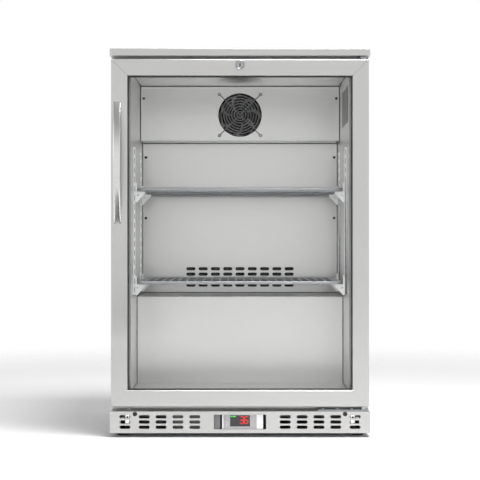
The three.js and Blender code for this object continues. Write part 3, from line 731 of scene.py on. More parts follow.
# ---- cabinet ----------------------------------------------------------------------------------


def make_worktop():
    """A shallow tray upside down: loops round its outline, inset a little more at each step of the fold.
    The plate under it has a slot for the lock's cam, which turns up into it."""
    low, high = corners("worktop")
    fold = sizes().fold
    corner = 3.2 * MM
    turn = np.linspace(0, math.pi / 2, 5)
    steps = [(fold * (1 - math.sin(a)), high[Z] - fold * (1 - math.cos(a))) for a in turn]
    steps += [(0.0, low[Z] + 0.3 * MM), (0.3 * MM, low[Z]), (SHEET, low[Z]), (SHEET, high[Z] - 1.3 * SHEET)]
    loops = [stand(inside(low, high, Z, inset, corner - inset), Z, level) for inset, level in steps]
    build("worktop_tray", [loft(loops)], "case_steel", ["worktop"])
    inset = 1.3 * SHEET
    outline = inside(low, high, Z, inset, corner - inset)
    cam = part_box("lock_cylinder")[1][Y]
    mortise = rounded_rectangle(-9 * MM, 15 * MM, cam - 7 * MM, cam + 4 * MM, 2 * MM)
    underside = sheet_cut(outline, [mortise], Z, low[Z] + 0.4 * MM, low[Z] + 1.2 * MM, 0.2 * MM)
    build("worktop_underside", [underside], "zinc_plate", slot="case_steel")


def make_side_panels():
    """Each is one folded sheet: a narrow return at the front, the side and a return at the back."""
    for side, sign in SIDES.items():
        node = f"side_panel_{side}"
        low, high = corners(node)
        outer = max(abs(low[X]), abs(high[X])) - SHEET / 2
        front, rear = low[Y] + SHEET / 2, high[Y] - SHEET / 2
        line = [(outer - 11.5 * MM, front), (outer, front), (outer, rear), (outer - 19.5 * MM, rear)]
        section = strip(eased(line, sizes().fold), SHEET) * (sign, 1)
        build(f"{node}_folded", [prism(section, Z, low[Z], high[Z])], "case_steel_upright", [node])


def make_rear():
    """The back sheet, a grille over the machine room and the screws that hold them."""
    edge = sizes().edge
    low, high = corners("rear_panel")
    sheet = sheet_cut(inside(low, high, Y, 0.0, 2 * MM), [], Y, low[Y], high[Y], edge)
    build("rear_sheet", [sheet], "galvanised_steel", ["rear_panel"])
    levels = (low[Z] + 0.012, high[Z] - 0.012)
    heads = [(x, high[Y], z) for x in (-0.285, -0.095, 0.095, 0.285) for z in levels]
    heads += [(x, high[Y], z) for x in (-0.288, 0.288) for z in (0.43, 0.58, 0.73)]
    standing = CAD_BOX[1][Y] - high[Y]
    screws("rear_sheet_screws", heads, Y, 1, "zinc_plate", height=0.9 * standing)

    low, high = corners("rear_service_grille")
    holes = [
        slot_hole(column * 62 * MM, z, 9 * MM, 36 * MM)
        for column in range(-3, 4) for z in (0.12, 0.17, 0.22)]
    grille = sheet_cut(inside(low, high, Y, 0.0, 2 * MM), holes, Y, low[Y], high[Y], edge)
    build("rear_grille_sheet", [grille], "galvanised_steel", ["rear_service_grille"])
    heads = [(x, high[Y], z) for x in (-0.284, 0.0, 0.284) for z in (low[Z] + 0.01, high[Z] - 0.01)]
    screws("rear_grille_screws", heads, Y, 1, "zinc_plate")


def make_base():
    refine("base_frame", 0.4 * MM)
    dress("foam_insulation")


def make_plinth():
    """A slotted front with a window for the controller, under a folded lid whose ends turn down."""
    low, high = corners("plinth_grille")
    holes = [
        slot_hole(side * x, z, 25 * MM, 7.4 * MM)
        for x in PLINTH_COLUMNS for z in PLINTH_ROWS for side in SIDES.values()]
    holes.append(rounded_rectangle(-0.060, 0.060, 0.0191, 0.0525, 0.8 * MM))
    holes += [round_hole(side * PLUG_X, PLUG_Z, 4.2 * MM, 24) for side in SIDES.values()]
    front = sheet_cut(inside(low, high, Y, 0.0, 1.6 * MM), holes, Y, low[Y], low[Y] + SHEET, 0.3 * MM)
    end, top = high[X] - SHEET / 2, high[Z] - SHEET / 2
    line = [(-end, low[Z] + 1.4 * MM), (-end, top), (end, top), (end, low[Z] + 1.4 * MM)]
    lid = prism(strip(eased(line, sizes().fold), SHEET), Y, low[Y] + 0.5 * MM, high[Y])
    build("plinth_cover", [front, lid], "case_steel", ["plinth_grille"])


def make_plinth_trim():
    """Round plugs with a sunk middle, screws on the lid, bright brackets behind the outer slots and a
    grey cover behind two columns of slots on the left."""
    low, high = corners("plinth_grille")
    front = low[Y]
    profile = eased([
        (0.0, 0.2), (2.2, 0.2), (2.6, -0.9), (4.6, -0.9), (5.3, -0.3), (5.3, 0.0), (4.0, 0.0), (4.0, 6.0),
        (0.0, 6.0)], 0.15, 4) * MM
    plugs = [lathe(profile, (side * PLUG_X, front, PLUG_Z), Y, 36) for side in SIDES.values()]
    build("plinth_plugs", plugs, "black_plastic", slot="black_plastic")
    heads = [(x, front + 16 * MM, high[Z]) for x in (-0.257, -0.249)]
    screws("plinth_lid_screws", heads, Z, 1, "chrome", radius=2.6 * MM, height=1.4 * MM)
    depth = (front + 3.5 * MM, front + 4.7 * MM)
    for side, sign in SIDES.items():
        xs = sorted((sign * 0.2548, sign * 0.2640))
        hole = round_hole(sign * 0.2594, 0.0462, 2.4 * MM, 20)
        bracket = sheet_cut(rounded_rectangle(*xs, 0.0320, 0.0560, 1.5 * MM), [hole], Y, *depth, 0.3 * MM)
        build(f"plinth_bracket_{side}", [bracket], "zinc_plate", slot="zinc_plate")
    backing_and_painted_shade = [
        sheet_cut(rounded_rectangle(x - 0.012, x + 0.012, 0.020, 0.0555, 1 * MM), [], Y,
                  front + 14 * MM, front + 15 * MM, 0.3 * MM)
        for x in (-PLINTH_COLUMNS[0], -PLINTH_COLUMNS[1])]
    build("plinth_wiring_cover", backing_and_painted_shade, "dark_plastic", slot="grey_plastic")


def make_feet():
    """A pad whose rim is fluted by 0.45 cos 20a mm, on a threaded stem."""
    for place in ("front_left", "front_right", "rear_left", "rear_right"):
        node = f"foot_{place}"
        low, high = corners(node)
        centre = ((low[X] + high[X]) / 2, (low[Y] + high[Y]) / 2, 0.0)
        pad = eased([
            (0, 0), (12.2, 0), (14.8, 3.0), (14.8, 9.0), (13.8, 10.8), (4.4, 10.8), (4.4, 12)], 0.7, 4)
        turns = np.arange(25)
        thread = np.stack([np.where(turns % 2, 4.7, 3.9), 12.0 + turns], -1)
        profile = np.concatenate([pad, thread, [(3.4, 37.5), (0, 37.8)]]) * MM
        points, faces = lathe(profile, centre, Z, 120)
        flute(points, centre, Z, 20, lambda radius: 0.45 * np.clip(radius - 13.5 * MM, 0, MM))
        build(f"{node}_turned", [(points, faces)], "black_plastic", [node])


# ---- storage room -----------------------------------------------------------------------------


def make_liner():
    """The walls, ceiling, floor and jamb are flat sheets, a seam short of each other that painted shade
    darkens, and a black sheet closes the air duct behind them: painted shade for the duct's metal back in
    shadow."""
    for node in ("liner_left", "liner_right"):
        refine(node, 0.2 * MM)
    for node in ("liner_ceiling", "liner_floor"):
        low, high = corners(node)
        sheet = rounded_rectangle(low[X] + SEAM, high[X] - SEAM, low[Y], high[Y] - SEAM, 0.5 * MM)
        build(f"{node}_sheet", [sheet_cut(sheet, [], Z, low[Z], high[Z], 0.2 * MM)], "liner_steel", [node])
    refine("door_jamb", 0.3 * MM)
    high = corners("liner_left")[1]
    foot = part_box("machine_cover")[1][Z]
    outline = rounded_rectangle(-0.2546, 0.2546, foot, high[Z] - 1.2 * MM, 0.5 * MM)
    # Painted shade: a black sheet where the duct's metal back lies in shadow, so the air panel's slots look
    # dark.
    back = sheet_cut(outline, [], Y, high[Y] - 1.5 * MM, high[Y] - 0.5 * MM, 0.2 * MM)
    build("air_duct_painted_shade", [back], "black_plastic", slot="black_plastic")


def make_machine_cover():
    """One sheet bent over the machine room: up from the floor and back to the air panel. Black films behind
    it, the floor and the ceiling are painted shade: they show through the seams and darken them."""
    low, high = corners("machine_cover")
    riser, tread = low[Y] + SHEET / 2, high[Z] - SHEET / 2
    line = [(riser, low[Z]), (riser, tread), (high[Y], tread)]
    step = prism(strip(eased(line, 3 * MM, 8), SHEET), X, low[X] + SEAM, high[X] - SEAM)
    build("machine_step", [step], "liner_steel", ["machine_cover"])
    floor, ceiling = corners("liner_floor"), corners("liner_ceiling")
    film = (0.03 * MM, 0.25 * MM)
    across = (low[X] + 0.2 * MM, high[X] - 0.2 * MM)
    upright = rounded_rectangle(*across, low[Z] + 1.2 * MM, high[Z] - 1.5 * MM, 0.5 * MM)
    lower = rounded_rectangle(*across, floor[0][Y], floor[1][Y], 0.5 * MM)
    upper = rounded_rectangle(*across, ceiling[0][Y], ceiling[1][Y], 0.5 * MM)
    # Painted shade: black films behind the seams, where a real seam is dark only from shadow.
    seam_shade_films = [
        sheet_cut(upright, [], Y, low[Y] + SHEET + film[0], low[Y] + SHEET + film[1], 0.05 * MM),
        sheet_cut(lower, [], Z, floor[0][Z] - film[1], floor[0][Z] - film[0], 0.05 * MM),
        sheet_cut(upper, [], Z, ceiling[1][Z] + film[0], ceiling[1][Z] + film[1], 0.05 * MM)]
    build("seam_painted_shade_film", seam_shade_films, "black_rubber", slot="black_rubber")


def make_air_panel():
    """A flat panel with four rows of slots low down and a screw at each side near its corners."""
    low, high = corners("rear_air_panel")
    holes = [
        slot_hole(column * 32.1 * MM, z, 24 * MM, 8.4 * MM)
        for column in range(-4, 5) for z in (0.379, 0.365, 0.3507, 0.3364)]
    panel = sheet_cut(inside(low, high, Y, SEAM, 0.6 * MM), holes, Y, low[Y], high[Y], sizes().edge)
    build("air_panel_sheet", [panel], "liner_steel", ["rear_air_panel"])
    heads = [(side * PANEL_SCREW_X, low[Y], z) for side in SIDES.values() for z in (0.670, 0.5115)]
    screws("air_panel_screws", heads, Y, -1, "black_paint", radius=3.5 * MM)


def make_evaporator_cover():
    """A face with the fan's opening, folded back along its lower edge to the air panel."""
    low, high = corners("evaporator_cover")
    across = (low[X] + SEAM, high[X] - SEAM)
    outline = rounded_rectangle(*across, low[Z] + 1.5 * MM, high[Z] - SEAM, 0.3 * MM, 3)
    opening = round_hole(0, FAN_Z, 55.5 * MM, 96)
    face = sheet_cut(outline, [opening], Y, low[Y], low[Y] + SHEET, 0.2 * MM)
    front, bottom = low[Y] + SHEET / 2, low[Z] + SHEET / 2
    line = [(front, low[Z] + 3 * MM), (front, bottom), (high[Y], bottom)]
    flange = prism(strip(eased(line, 1.5 * MM), SHEET), X, *across)
    build("evaporator_cover_folded", [face, flange], "liner_steel", ["evaporator_cover"])
    heads = [(side * PANEL_SCREW_X, low[Y], 0.816) for side in SIDES.values()]
    screws("evaporator_cover_screws", heads, Y, -1, "black_paint", radius=3.5 * MM)


def blade(angle, hub, tip, span, pitch, thickness, sweep_back, stations=12):
    """One fan blade. At radius r its chord spans an angle that grows with r and leans back by sweep_back,
    and a point at angle a off the chord's middle stands pitch * a * r from the fan's plane. Around the
    chord the section is an ellipse of that thickness. The result is (across, up, along the axis)."""
    share = np.linspace(0, 1, stations)[:, None]
    radius = hub + (tip - hub) * share
    turn = around(20)[None, :]
    chord = span * (0.78 + 0.22 * np.sin(math.pi * share ** 0.7)) * np.cos(turn) / 2
    lean = angle - sweep_back * share ** 2
    along = pitch * chord * radius + thickness / 2 * np.sin(turn)
    return np.stack([radius * np.cos(lean + chord), radius * np.sin(lean + chord), along], -1)


def fan(centre, axis, hub, tip, depth, blades, pitch, sweep_back):
    """A cup-shaped hub and its blades, as shells."""
    cup = eased([
        (0, -depth / 2), (hub - 1.5 * MM, -depth / 2), (hub, -depth / 2 + 1.5 * MM), (hub, depth / 2),
        (0, depth / 2)], 0.8 * MM, 4)
    shells = [lathe(cup, centre, axis)]
    span = 0.86 * 2 * math.pi / blades
    for angle in around(blades):
        points = blade(angle, hub - 2 * MM, tip, span, pitch, 1.5 * MM, sweep_back)
        shells.append(loft(placed_about(points, centre, axis)))
    return shells


def make_evaporator_fan():
    """The square frame keeps its CAD shape. The rotor has seven swept blades."""
    refine("evaporator_fan_frame", 0.5 * MM, "fan_plastic")
    dress("evaporator_coil")
    low, high = corners("evaporator_fan_rotor")
    centre = (0.0, (low[Y] + high[Y]) / 2, FAN_Z)
    depth = 0.8 * (high[Y] - low[Y])
    shells = fan(centre, Y, 20 * MM, 51.5 * MM, depth, 7, 0.42, 0.45)
    build("evaporator_fan_blades", shells, "fan_plastic", ["evaporator_fan_rotor"])


def make_fan_guard():
    """Seven wire rings on two crossed wires, which bend back to eyes under four screws."""
    low, high = corners("fan_guard")
    wire = circle(sizes().guard_wire / 2, 10)
    y = low[Y] + 1.4 * MM
    shells = []
    for ring in range(7):
        loop = circle((8 + ring * 6.7) * MM, 72)
        shells.append(sweep(stand(loop, Y, y) + (0, 0, FAN_Z), wire, (0, 1, 0), closed=True))
    eye = 52.5 * MM
    foot = high[Y] - 1.5 * MM
    for lean in (-1, 1):
        bend = [(-eye, foot), (-40 * MM, foot), (-36.5 * MM, y + 2 * MM)]
        line = eased(bend + [(-x, depth) for x, depth in bend[::-1]], 2 * MM, 6)
        path = np.stack([line[:, 0], line[:, 1], FAN_Z + lean * line[:, 0]], -1)
        shells.append(sweep(path, wire, (0, 1, 0.01)))
    places = [(sx * eye, foot, FAN_Z + sz * eye) for sx in (-1, 1) for sz in (-1, 1)]
    for x, _, z in places:
        loop = stand(np.array([x, z]) + circle(3.3 * MM, 28), Y, foot)
        shells.append(sweep(loop, wire * 0.8, (0, 1, 0), closed=True))
    build("fan_guard_wires", shells, "guard_wire", ["fan_guard"])
    heads = [(x, high[Y] - 2.0 * MM, z) for x, _, z in places]
    screws("fan_guard_screws", heads, Y, -1, "zinc_plate", radius=2.2 * MM)


def upright_slots(centre, half_width, levels, radius, steps):
    """Upright openings 13 mm high, one at each level."""
    half = 6.5 * MM
    return [
        rounded_rectangle(centre - half_width, centre + half_width, z - half, z + half, radius, steps)
        for z in levels]


def make_pilasters():
    """A slotted channel: a face with sixteen slots between two legs that stand on the wall. Its front leg
    is notched beside each slot, and a black strip behind the slots is painted shade inside the channel."""
    rows = 16
    sheet = 1.2 * MM
    for node in [f"pilaster_{place}_{side}" for place in ("front", "rear") for side in SIDES]:
        low, high = corners(node)
        inner, wall = (low[X], high[X]) if node.endswith("right") else (high[X], low[X])
        outwards = np.sign(wall - inner)
        levels = low[Z] + (np.arange(rows) + 0.5) * (high[Z] - low[Z]) / rows
        holes = upright_slots((low[Y] + high[Y]) / 2, 2.5 * MM, levels, 1 * MM, 4)
        depth = sorted((inner, inner + outwards * sheet))
        face = sheet_cut(inside(low, high, X, 0.0, 0.4 * MM, 3), holes, X, *depth, 0.25 * MM)
        leg = rounded_rectangle(*sorted((inner + 0.01 * MM, wall)), low[Z], high[Z], 0.3 * MM, 3)
        notches = upright_slots(inner + outwards * 1.3 * MM, 0.9 * MM, levels, 0.4 * MM, 3)
        front = sheet_cut(leg, notches, Y, low[Y], low[Y] + sheet, 0.2 * MM)
        rear = sheet_cut(leg, [], Y, high[Y] - sheet, high[Y], 0.2 * MM)
        build(f"{node}_slotted", [face, front, rear], "zinc_plate", [node])
        # Painted shade: a black strip inside the channel darkens the slots, where the real channel is dark
        # only from shadow.
        behind = sorted((inner + outwards * 1.2 * sheet, inner + outwards * 3.6 * sheet))
        backing_and_painted_shade = block(behind, (low[Y] + 2 * MM, high[Y] - 2 * MM), (low[Z] + MM, high[Z] - MM), 0.1 * MM)
        build(f"{node}_backing", [backing_and_painted_shade], "black_rubber", slot="black_rubber")


def make_shelf_clips():
    for level in ("upper", "lower"):
        for place in ("front", "rear"):
            for side in SIDES:
                refine(f"shelf_clip_{level}_{place}_{side}", 0.3 * MM)


def make_shelves():
    """A rim wire round the outline, wires from front to back welded on top of it, whose ends dip onto the
    rim, and two bars across underneath, whose ends bend up into the rim."""
    wires = 24
    rim = sizes().rim_wire / 2
    thin = sizes().shelf_wire / 2
    for level in ("upper", "lower"):
        node = f"shelf_{level}"
        low, high = corners(node)
        top = high[Z] - thin
        middle = high[Z] - 0.9 * MM - 4.5 * MM
        outline = stand(inside(low, high, Z, rim, 12 * MM, 9), Z, middle)
        shells = [sweep(outline, circle(rim, 16), (0, 0, 1), closed=True)]
        y0, y1 = low[Y] + 2.6 * MM, high[Y] - 2.6 * MM
        dip = [
            (y0, top - 1.5 * MM), (y0 + 4 * MM, top), (y1 - 4 * MM, top), (y1, top - 1.5 * MM)]
        line = eased(dip, 1.5 * MM, 4)
        for wire in range(wires):
            x = (wire - (wires - 1) / 2) * 19.6 * MM
            shells.append(sweep(stand(line, X, x), circle(thin, 10), (1, 0, 0)))
        for share, drop in ((1 / 3, 2.6), (0.93, 9.4)):
            y = low[Y] + share * (high[Y] - low[Y])
            z = top - thin - drop * MM
            left, right = low[X] + 14 * MM, high[X] - 14 * MM
            bar = eased([(low[X] + rim, middle), (left, z), (right, z), (high[X] - rim, middle)], 3 * MM, 4)
            shells.append(sweep(stand(bar, Y, y), circle(2.6 * MM, 12), (0, 1, 0)))
        build(f"{node}_wires", shells, "grey_coating", [node])


def make_rating_plate():
    """A blank plate on the right wall, held by four rivets."""
    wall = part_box("liner_right")[0][X]
    face = CAD_BOX[0][Y] + 33 * MM
    ys, zs = (face + 88 * MM, face + 283 * MM), (0.733, 0.8185)
    outline = rounded_rectangle(*ys, *zs, 2 * MM)
    plate = sheet_cut(outline, [], X, wall - SHEET, wall - 0.1 * MM, 0.2 * MM)
    build("rating_plate", [plate], "plate_print", slot="zinc_plate")
    rivet = eased([(0, 0.9), (1.2, 0.8), (1.9, 0.0), (0, 0)], 0.3, 4) * (MM, -MM)
    heads = [
        lathe(rivet, (wall - SHEET, y, z), X, 20)
        for y in (ys[0] + 4 * MM, ys[1] - 4 * MM) for z in (zs[0] + 4 * MM, zs[1] - 4 * MM)]
    build("rating_plate_rivets", heads, "bare_aluminium", slot="zinc_plate")


# ---- door -------------------------------------------------------------------------------------


def make_door_frame():
    """Mitred bars with a round outer edge."""
    for node in ("door_stile_left", "door_stile_right"):
        refine(node, 0.6 * MM, "case_steel_upright")
    for node in ("door_rail_top", "door_rail_bottom"):
        refine(node, 0.6 * MM)


def make_glazing():
    """Two panes with ground edges and the slim spacer between them."""
    refine("glass_pane_front", 0.5 * MM)
    refine("glass_pane_rear", 0.5 * MM)
    low, high = corners("glass_spacer")
    bar = 1.7 * MM
    outline = inside(low, high, Y, 0.0, 0.5 * MM)
    opening = inside(low, high, Y, bar, 0.5 * MM)
    spacer = sheet_cut(outline, [opening], Y, low[Y], high[Y], 0.3 * MM)
    build("glass_spacer_bar", [spacer], "black_plastic", ["glass_spacer"])


def make_gasket():
    """A bellows section carried round the door: a base, two folds and the magnet's bar."""
    low, high = corners("door_gasket")
    half = 8.5
    depth = (high[Y] - low[Y]) / MM
    right = [
        (half, 0.0), (half, 1.4), (half - 2.2, 2.3), (half - 0.7, 3.6), (half - 2.0, 4.7),
        (half - 0.9, 5.4), (half - 0.9, depth)]
    section = eased(right + [(-u, v) for u, v in right[::-1]], 0.35, 4, closed=True) * MM
    path = stand(inside(low, high, Y, half * MM, 9 * MM, 8), Y, low[Y])
    path = path if sweep_leans_back(path, low[Y]) else path[::-1]
    bellows = sweep(path, section, (0, 1, 0), closed=True)
    build("door_gasket_bellows", [bellows], "black_rubber", ["door_gasket"])


def sweep_leans_back(path, level):
    """True if a section carried along this path has its depth towards +Y."""
    points, _ = sweep(path, np.array([(0.0, 1.0), (0.1, 1.0), (0.0, 0.9)]), (0, 1, 0), closed=True)
    return points[:, Y].mean() > level


def make_handle():
    """A bowed strap. Along z its outer face is a circle's arc that rises from the door, its inner face a
    flatter arc that leaves the door a foot's length further in, and each section between them is the
    superellipse (|cos a|^0.45, |sin a|^0.45)."""
    low, high = corners("door_handle")
    foot = 17 * MM
    thickness = 7 * MM
    middle, half = (low[Z] + high[Z]) / 2, (high[Z] - low[Z]) / 2
    rise = high[Y] - low[Y]

    def arc(chord, height, at):
        radius = (chord ** 2 + height ** 2) / (2 * height)
        return np.sqrt(np.maximum(radius ** 2 - at ** 2, 0)) - (radius - height)

    share = np.linspace(-1, 1, 121)
    at = half * np.sin(share * math.pi / 2)[:, None] * 0.9995
    outer = high[Y] - arc(half, rise, at)
    inner = high[Y] - np.maximum(arc(half - foot, rise - thickness, at), 0)
    turn = around(40)[None, :]

    def bulge(wave):
        return np.sign(wave) * np.abs(wave) ** 0.45

    width = (high[X] - low[X]) / 2
    loops = np.empty((len(share), turn.shape[1], 3))
    loops[..., X] = (low[X] + high[X]) / 2 + width * bulge(np.cos(turn))
    loops[..., Y] = (outer + inner) / 2 + (inner - outer) / 2 * bulge(np.sin(turn))
    loops[..., Z] = middle + at
    build("door_handle_bow", [loft(loops)], "handle_steel", ["door_handle"])


def make_lock():
    """A chrome bezel with a sunk face, and the cylinder, whose keyway holds a black block of painted shade.
    """
    low, high = corners("lock_barrel")
    centre = ((low[X] + high[X]) / 2, 0.0, (low[Z] + high[Z]) / 2)
    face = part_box("door_rail_top")[0][Y]
    profile = [
        (7.8, -2.0), (8.6, -2.8), (10.4, -2.8), (11.5, -1.6), (11.5, -0.3), (9.6, -0.3), (9.6, 15.0),
        (7.8, 15.0)]
    loop = eased(profile, 0.35, 5, closed=True) * MM + (0, face)
    build("lock_bezel", [lathe(loop, centre, Y, 72, closed=True)], "chrome", ["lock_barrel"])
    refine("lock_cylinder", 0.2 * MM)
    # Painted shade: a black block fills the keyway, which on the real lock is dark only from shadow.
    opening = rounded_rectangle(-1.35, 1.35, -3.7, 3.7, 0.3, 3) * MM + (0, centre[Z])
    keyway_painted_shade = prism(opening, Y, face - 0.9 * MM, face + 4.8 * MM)
    build("lock_keyhole_painted_shade", [keyway_painted_shade], "black_plastic", body="lock", slot="chrome")


def make_hinges():
    """The two brackets and the screws of the lower one's plate."""
    refine("bottom_hinge_bracket", 0.4 * MM, "galvanised_steel")
    refine("top_hinge_bracket", 0.4 * MM, "galvanised_steel")
    low = corners("bottom_hinge_bracket")[0]
    top = low[Z] + 3.0 * MM
    heads = [(x, low[Y] + 17 * MM, top) for x in (0.192, 0.225, 0.258)]
    screws("hinge_screws", heads, Z, 1, "zinc_plate", radius=4.2 * MM, height=2.2 * MM)


# ---- controller -------------------------------------------------------------------------------


SEGMENTS = {
    "top": (0, 2, "flat"), "middle": (0, 0, "flat"), "bottom": (0, -2, "flat"),
    "upper_right": (1, 1, "upright"), "lower_right": (1, -1, "upright"),
    "lower_left": (-1, -1, "upright"), "upper_left": (-1, 1, "upright")}
FIGURES = {
    3: ("top", "upper_right", "middle", "lower_right", "bottom"),
    6: ("top", "upper_left", "middle", "lower_left", "lower_right", "bottom")}


def figure(value, centre, ys):
    """A seven-segment figure. Each lit segment is a bar with pointed ends, and all lean over to the right
    by a tenth of their height."""
    height = sizes().digit_height
    reach = height / 4
    stroke = 0.070 * height
    shells = []
    for name in FIGURES[value]:
        right, up, lie = SEGMENTS[name]
        half = reach - 0.25 * stroke
        flat = half - stroke
        bar = np.array([
            (-half, 0), (-flat, -stroke), (flat, -stroke), (half, 0), (flat, stroke), (-flat, stroke)])
        bar = bar if lie == "flat" else bar[:, ::-1]
        bar = bar + (right * reach, up * reach)
        bar[:, 0] += 0.1 * bar[:, 1]
        shells.append(prism(bar * (1.0, 0.94) + centre, Y, *ys))
    return shells


def make_controller():
    """The housing in the plinth's window, its keys, its surround with a painted-shade back and the lit
    display.
    """
    refine("controller_housing", 0.5 * MM)
    for key in ("up", "down", "set", "power"):
        refine(f"key_{key}", 0.6 * MM, segments=3)
    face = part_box("plinth_grille")[0][Y] + 2 * MM
    outline = rounded_rectangle(-22.8, 22.8, 25.2, 50.8, 0.8) * MM
    glass = sheet_cut(outline, [], Y, face + 0.5 * MM, face + 1.4 * MM, 0.2 * MM)
    build("display_window", [glass], "display_black", slot="grey_plastic")
    ys = (face + 0.30 * MM, face + 0.55 * MM)
    figures = figure(3, (4.4 * MM, 39.7 * MM), ys) + figure(6, (14.4 * MM, 39.7 * MM), ys)
    dot = prism(round_hole(21.3 * MM, 43.6 * MM, 0.7 * MM, 16), Y, *ys)
    build("display_figures", [*figures, dot], "lit_red", slot="grey_plastic")
    marks = [
        prism(rounded_rectangle(*xs, 46.9, 49.3, 0.4, 3) * MM, Y, *ys)
        for xs in ((-21.5, -18.5), (-17.2, -9.8))]
    build("display_indicator", marks, "lit_green", slot="grey_plastic")
    make_controller_surround(face)
    make_key_marks(face)


def make_controller_surround(face):
    """Cheeks, and a black back of painted shade, that fill the window beside the facia."""
    level = (19.4 * MM, 52.2 * MM)

    def cheek(name, x, y, finish):
        shell = block((x[0] * MM, x[1] * MM), (face + y[0] * MM, face + y[1] * MM), level, 0.4 * MM)
        build(name, [shell], finish, slot="grey_plastic")

    cheek("window_cheek_left", (-59.8, -45.6), (0.6, 2.6), "dark_plastic")
    cheek("window_lip_left", (-41.2, -37.9), (0.2, 0.9), "white_plastic")
    cheek("window_cheek_right", (38.0, 53.2), (0.0, 1.6), "white_plastic")
    # Painted shade: a black back behind the window, where the plinth's inside is dark only from shadow.
    back = block((-59.9 * MM, 59.9 * MM), (face + 42 * MM, face + 43 * MM), level, 0.3 * MM)
    build("window_painted_shade_back", [back], "black_plastic", slot="black_plastic")


def make_key_marks(face):
    """A raised mark on each key: two arrowheads, a ring and a bar in a ring."""
    ys = (face - 0.35 * MM, face - 0.1 * MM)
    tip = np.array([(-2.2, -1.4), (2.2, -1.4), (0.0, 1.8)]) * MM
    ring = lathe_ring(2.0 * MM, 0.35 * MM)
    rows = {
        "up": [prism(tip + (-30.3 * MM, 43 * MM), Y, *ys)],
        "down": [prism(tip * (1, -1) + (-30.3 * MM, 29 * MM), Y, *ys)],
        "set": [ring((30.3 * MM, ys[0] + 0.1 * MM, 43 * MM))],
        "power": [
            ring((30.3 * MM, ys[0] + 0.1 * MM, 29 * MM)),
            prism(rounded_rectangle(29.95, 30.65, 29.4, 31.8, 0.2, 3) * MM, Y, *ys)],
    }
    for key, shells in rows.items():
        build(f"key_{key}_mark", shells, "pale_print", body=BODY_OF[f"key_{key}"], slot="grey_plastic")


def lathe_ring(radius, wire):
    """A maker of thin rings that stand across y."""
    def at(place):
        path = stand(circle(radius, 28), Y, 0.0) + np.array(place)
        return sweep(path, circle(wire, 6) * (1.0, 0.35), (0, 1, 0), closed=True)
    return at


# ---- machine room -----------------------------------------------------------------------------


def make_compressor():
    """A drawn shell with a welded seam, on a plate with rubber feet, and its pipes."""
    low, high = corners("compressor")
    x, y = 0.110, (low[Y] + high[Y]) / 2
    base = low[Z]
    shell = eased([
        (0, 18), (50, 18), (74, 26), (79, 42), (79, 95), (82.5, 97), (82.5, 104), (79, 106), (77, 140),
        (62, 166), (30, 176), (0, 177.5)], 2.5, 6) * MM + (0, base)
    body = lathe(shell, (x, y, 0.0), Z, 72)
    outline = rounded_rectangle(x - 0.088, x + 0.088, y - 0.062, y + 0.062, 8 * MM)
    plate = prism(outline, Z, base + 14 * MM, base + 17 * MM)
    build("compressor_shell", [body, plate], "black_paint", ["compressor"])
    foot = eased([(0, 0.4), (9, 0.4), (9, 4), (7, 6), (7, 9), (9, 11), (9, 14), (0, 14)], 0.6, 4) * MM
    feet = [
        lathe(foot + (0, base), (x + dx, y + dy, 0.0), Z, 28)
        for dx in (-0.076, 0.076) for dy in (-0.05, 0.05)]
    build("compressor_feet", feet, "black_rubber", slot="black_rubber")
    top = base + 0.150
    runs = [
        [(x - 0.06, y - 0.04, top - 0.06), (x - 0.10, y - 0.05, top - 0.06),
         (x - 0.10, y - 0.05, top + 0.045), (-0.02, y - 0.05, top + 0.075), (-0.09, y + 0.02, top + 0.060)],
        [(x - 0.05, y + 0.05, top - 0.05), (x - 0.11, y + 0.065, top - 0.05),
         (x - 0.11, y + 0.065, top + 0.06), (-0.03, y + 0.075, top + 0.085)]]
    pipes = [sweep(eased(run, 0.018, 8), circle(3.2 * MM, 14), (0.31, 0.87, 0.22)) for run in runs]
    build("refrigerant_pipes", pipes, "copper_pipe", slot="bare_aluminium")


def make_condenser():
    """The finned block keeps its CAD shape. Its fan has five broad blades."""
    refine("condenser_coil", 0.15 * MM)
    low, high = corners("condenser_fan_rotor")
    centre = (low + high) / 2
    shells = fan(centre, X, 24 * MM, 78 * MM, 0.8 * (high[X] - low[X]), 5, 0.26, 0.2)
    build("condenser_fan_blades", shells, "bare_aluminium", ["condenser_fan_rotor"])


def make_power_inlet():
    """A gland with a ribbed collar."""
    low, high = corners("power_inlet")
    centre = ((low[X] + high[X]) / 2, low[Y], (low[Z] + high[Z]) / 2)
    profile = eased([
        (0, 0), (12, 0), (12, 4.6), (9.5, 5.6), (9.5, 9.6), (7, 12.6), (4.2, 12.7), (4.2, 8.7),
        (0, 8.7)], 0.4, 4) * MM
    points, faces = lathe(profile, centre, Y, 72)
    flute(points, centre, Y, 18, lambda radius: 0.3 * np.clip(MM - abs(radius - 9.5 * MM), 0, MM))
    build("power_inlet_gland", [(points, faces)], "black_plastic", ["power_inlet"])


# ---- studio -----------------------------------------------------------------------------------


def make_world():
    """A white surround: full white at the horizon, duller straight up and down."""
    world = bpy.data.worlds.new("surround")
    world.use_nodes = True
    bpy.context.scene.world = world
    s = Shader(world.node_tree)
    here = s.node("ShaderNodeTexCoord")["Generated"]
    height = s.node("ShaderNodeSeparateXYZ", None, {"Vector": here})["Z"]
    away = height.math("ABSOLUTE", height).above(0.42, 0.5)
    light = s.blend(away, even(1.0), even(0.36))
    glow = {"Color": light, "Strength": studio().surround}
    background = s.node("ShaderNodeBackground", None, glow)["Background"]
    s.node("ShaderNodeOutputWorld", None, {"Surface": background})


def soft_light(name, place, target, size, power):
    """A square soft light that faces a point."""
    data = bpy.data.lights.new(name, "AREA")
    data.shape = "SQUARE"
    data.size = size
    data.energy = power
    light = bpy.data.objects.new(name, data)
    light.location = place
    light.rotation_euler = (Vector(target) - Vector(place)).to_track_quat("-Z", "Y").to_euler()
    bpy.context.scene.collection.objects.link(light)


def staged(name, mesh):
    """An object of the studio, which isn't part of the refrigerator."""
    placed = bpy.data.objects.new(name, mesh)
    bpy.context.scene.collection.objects.link(placed)
    return placed


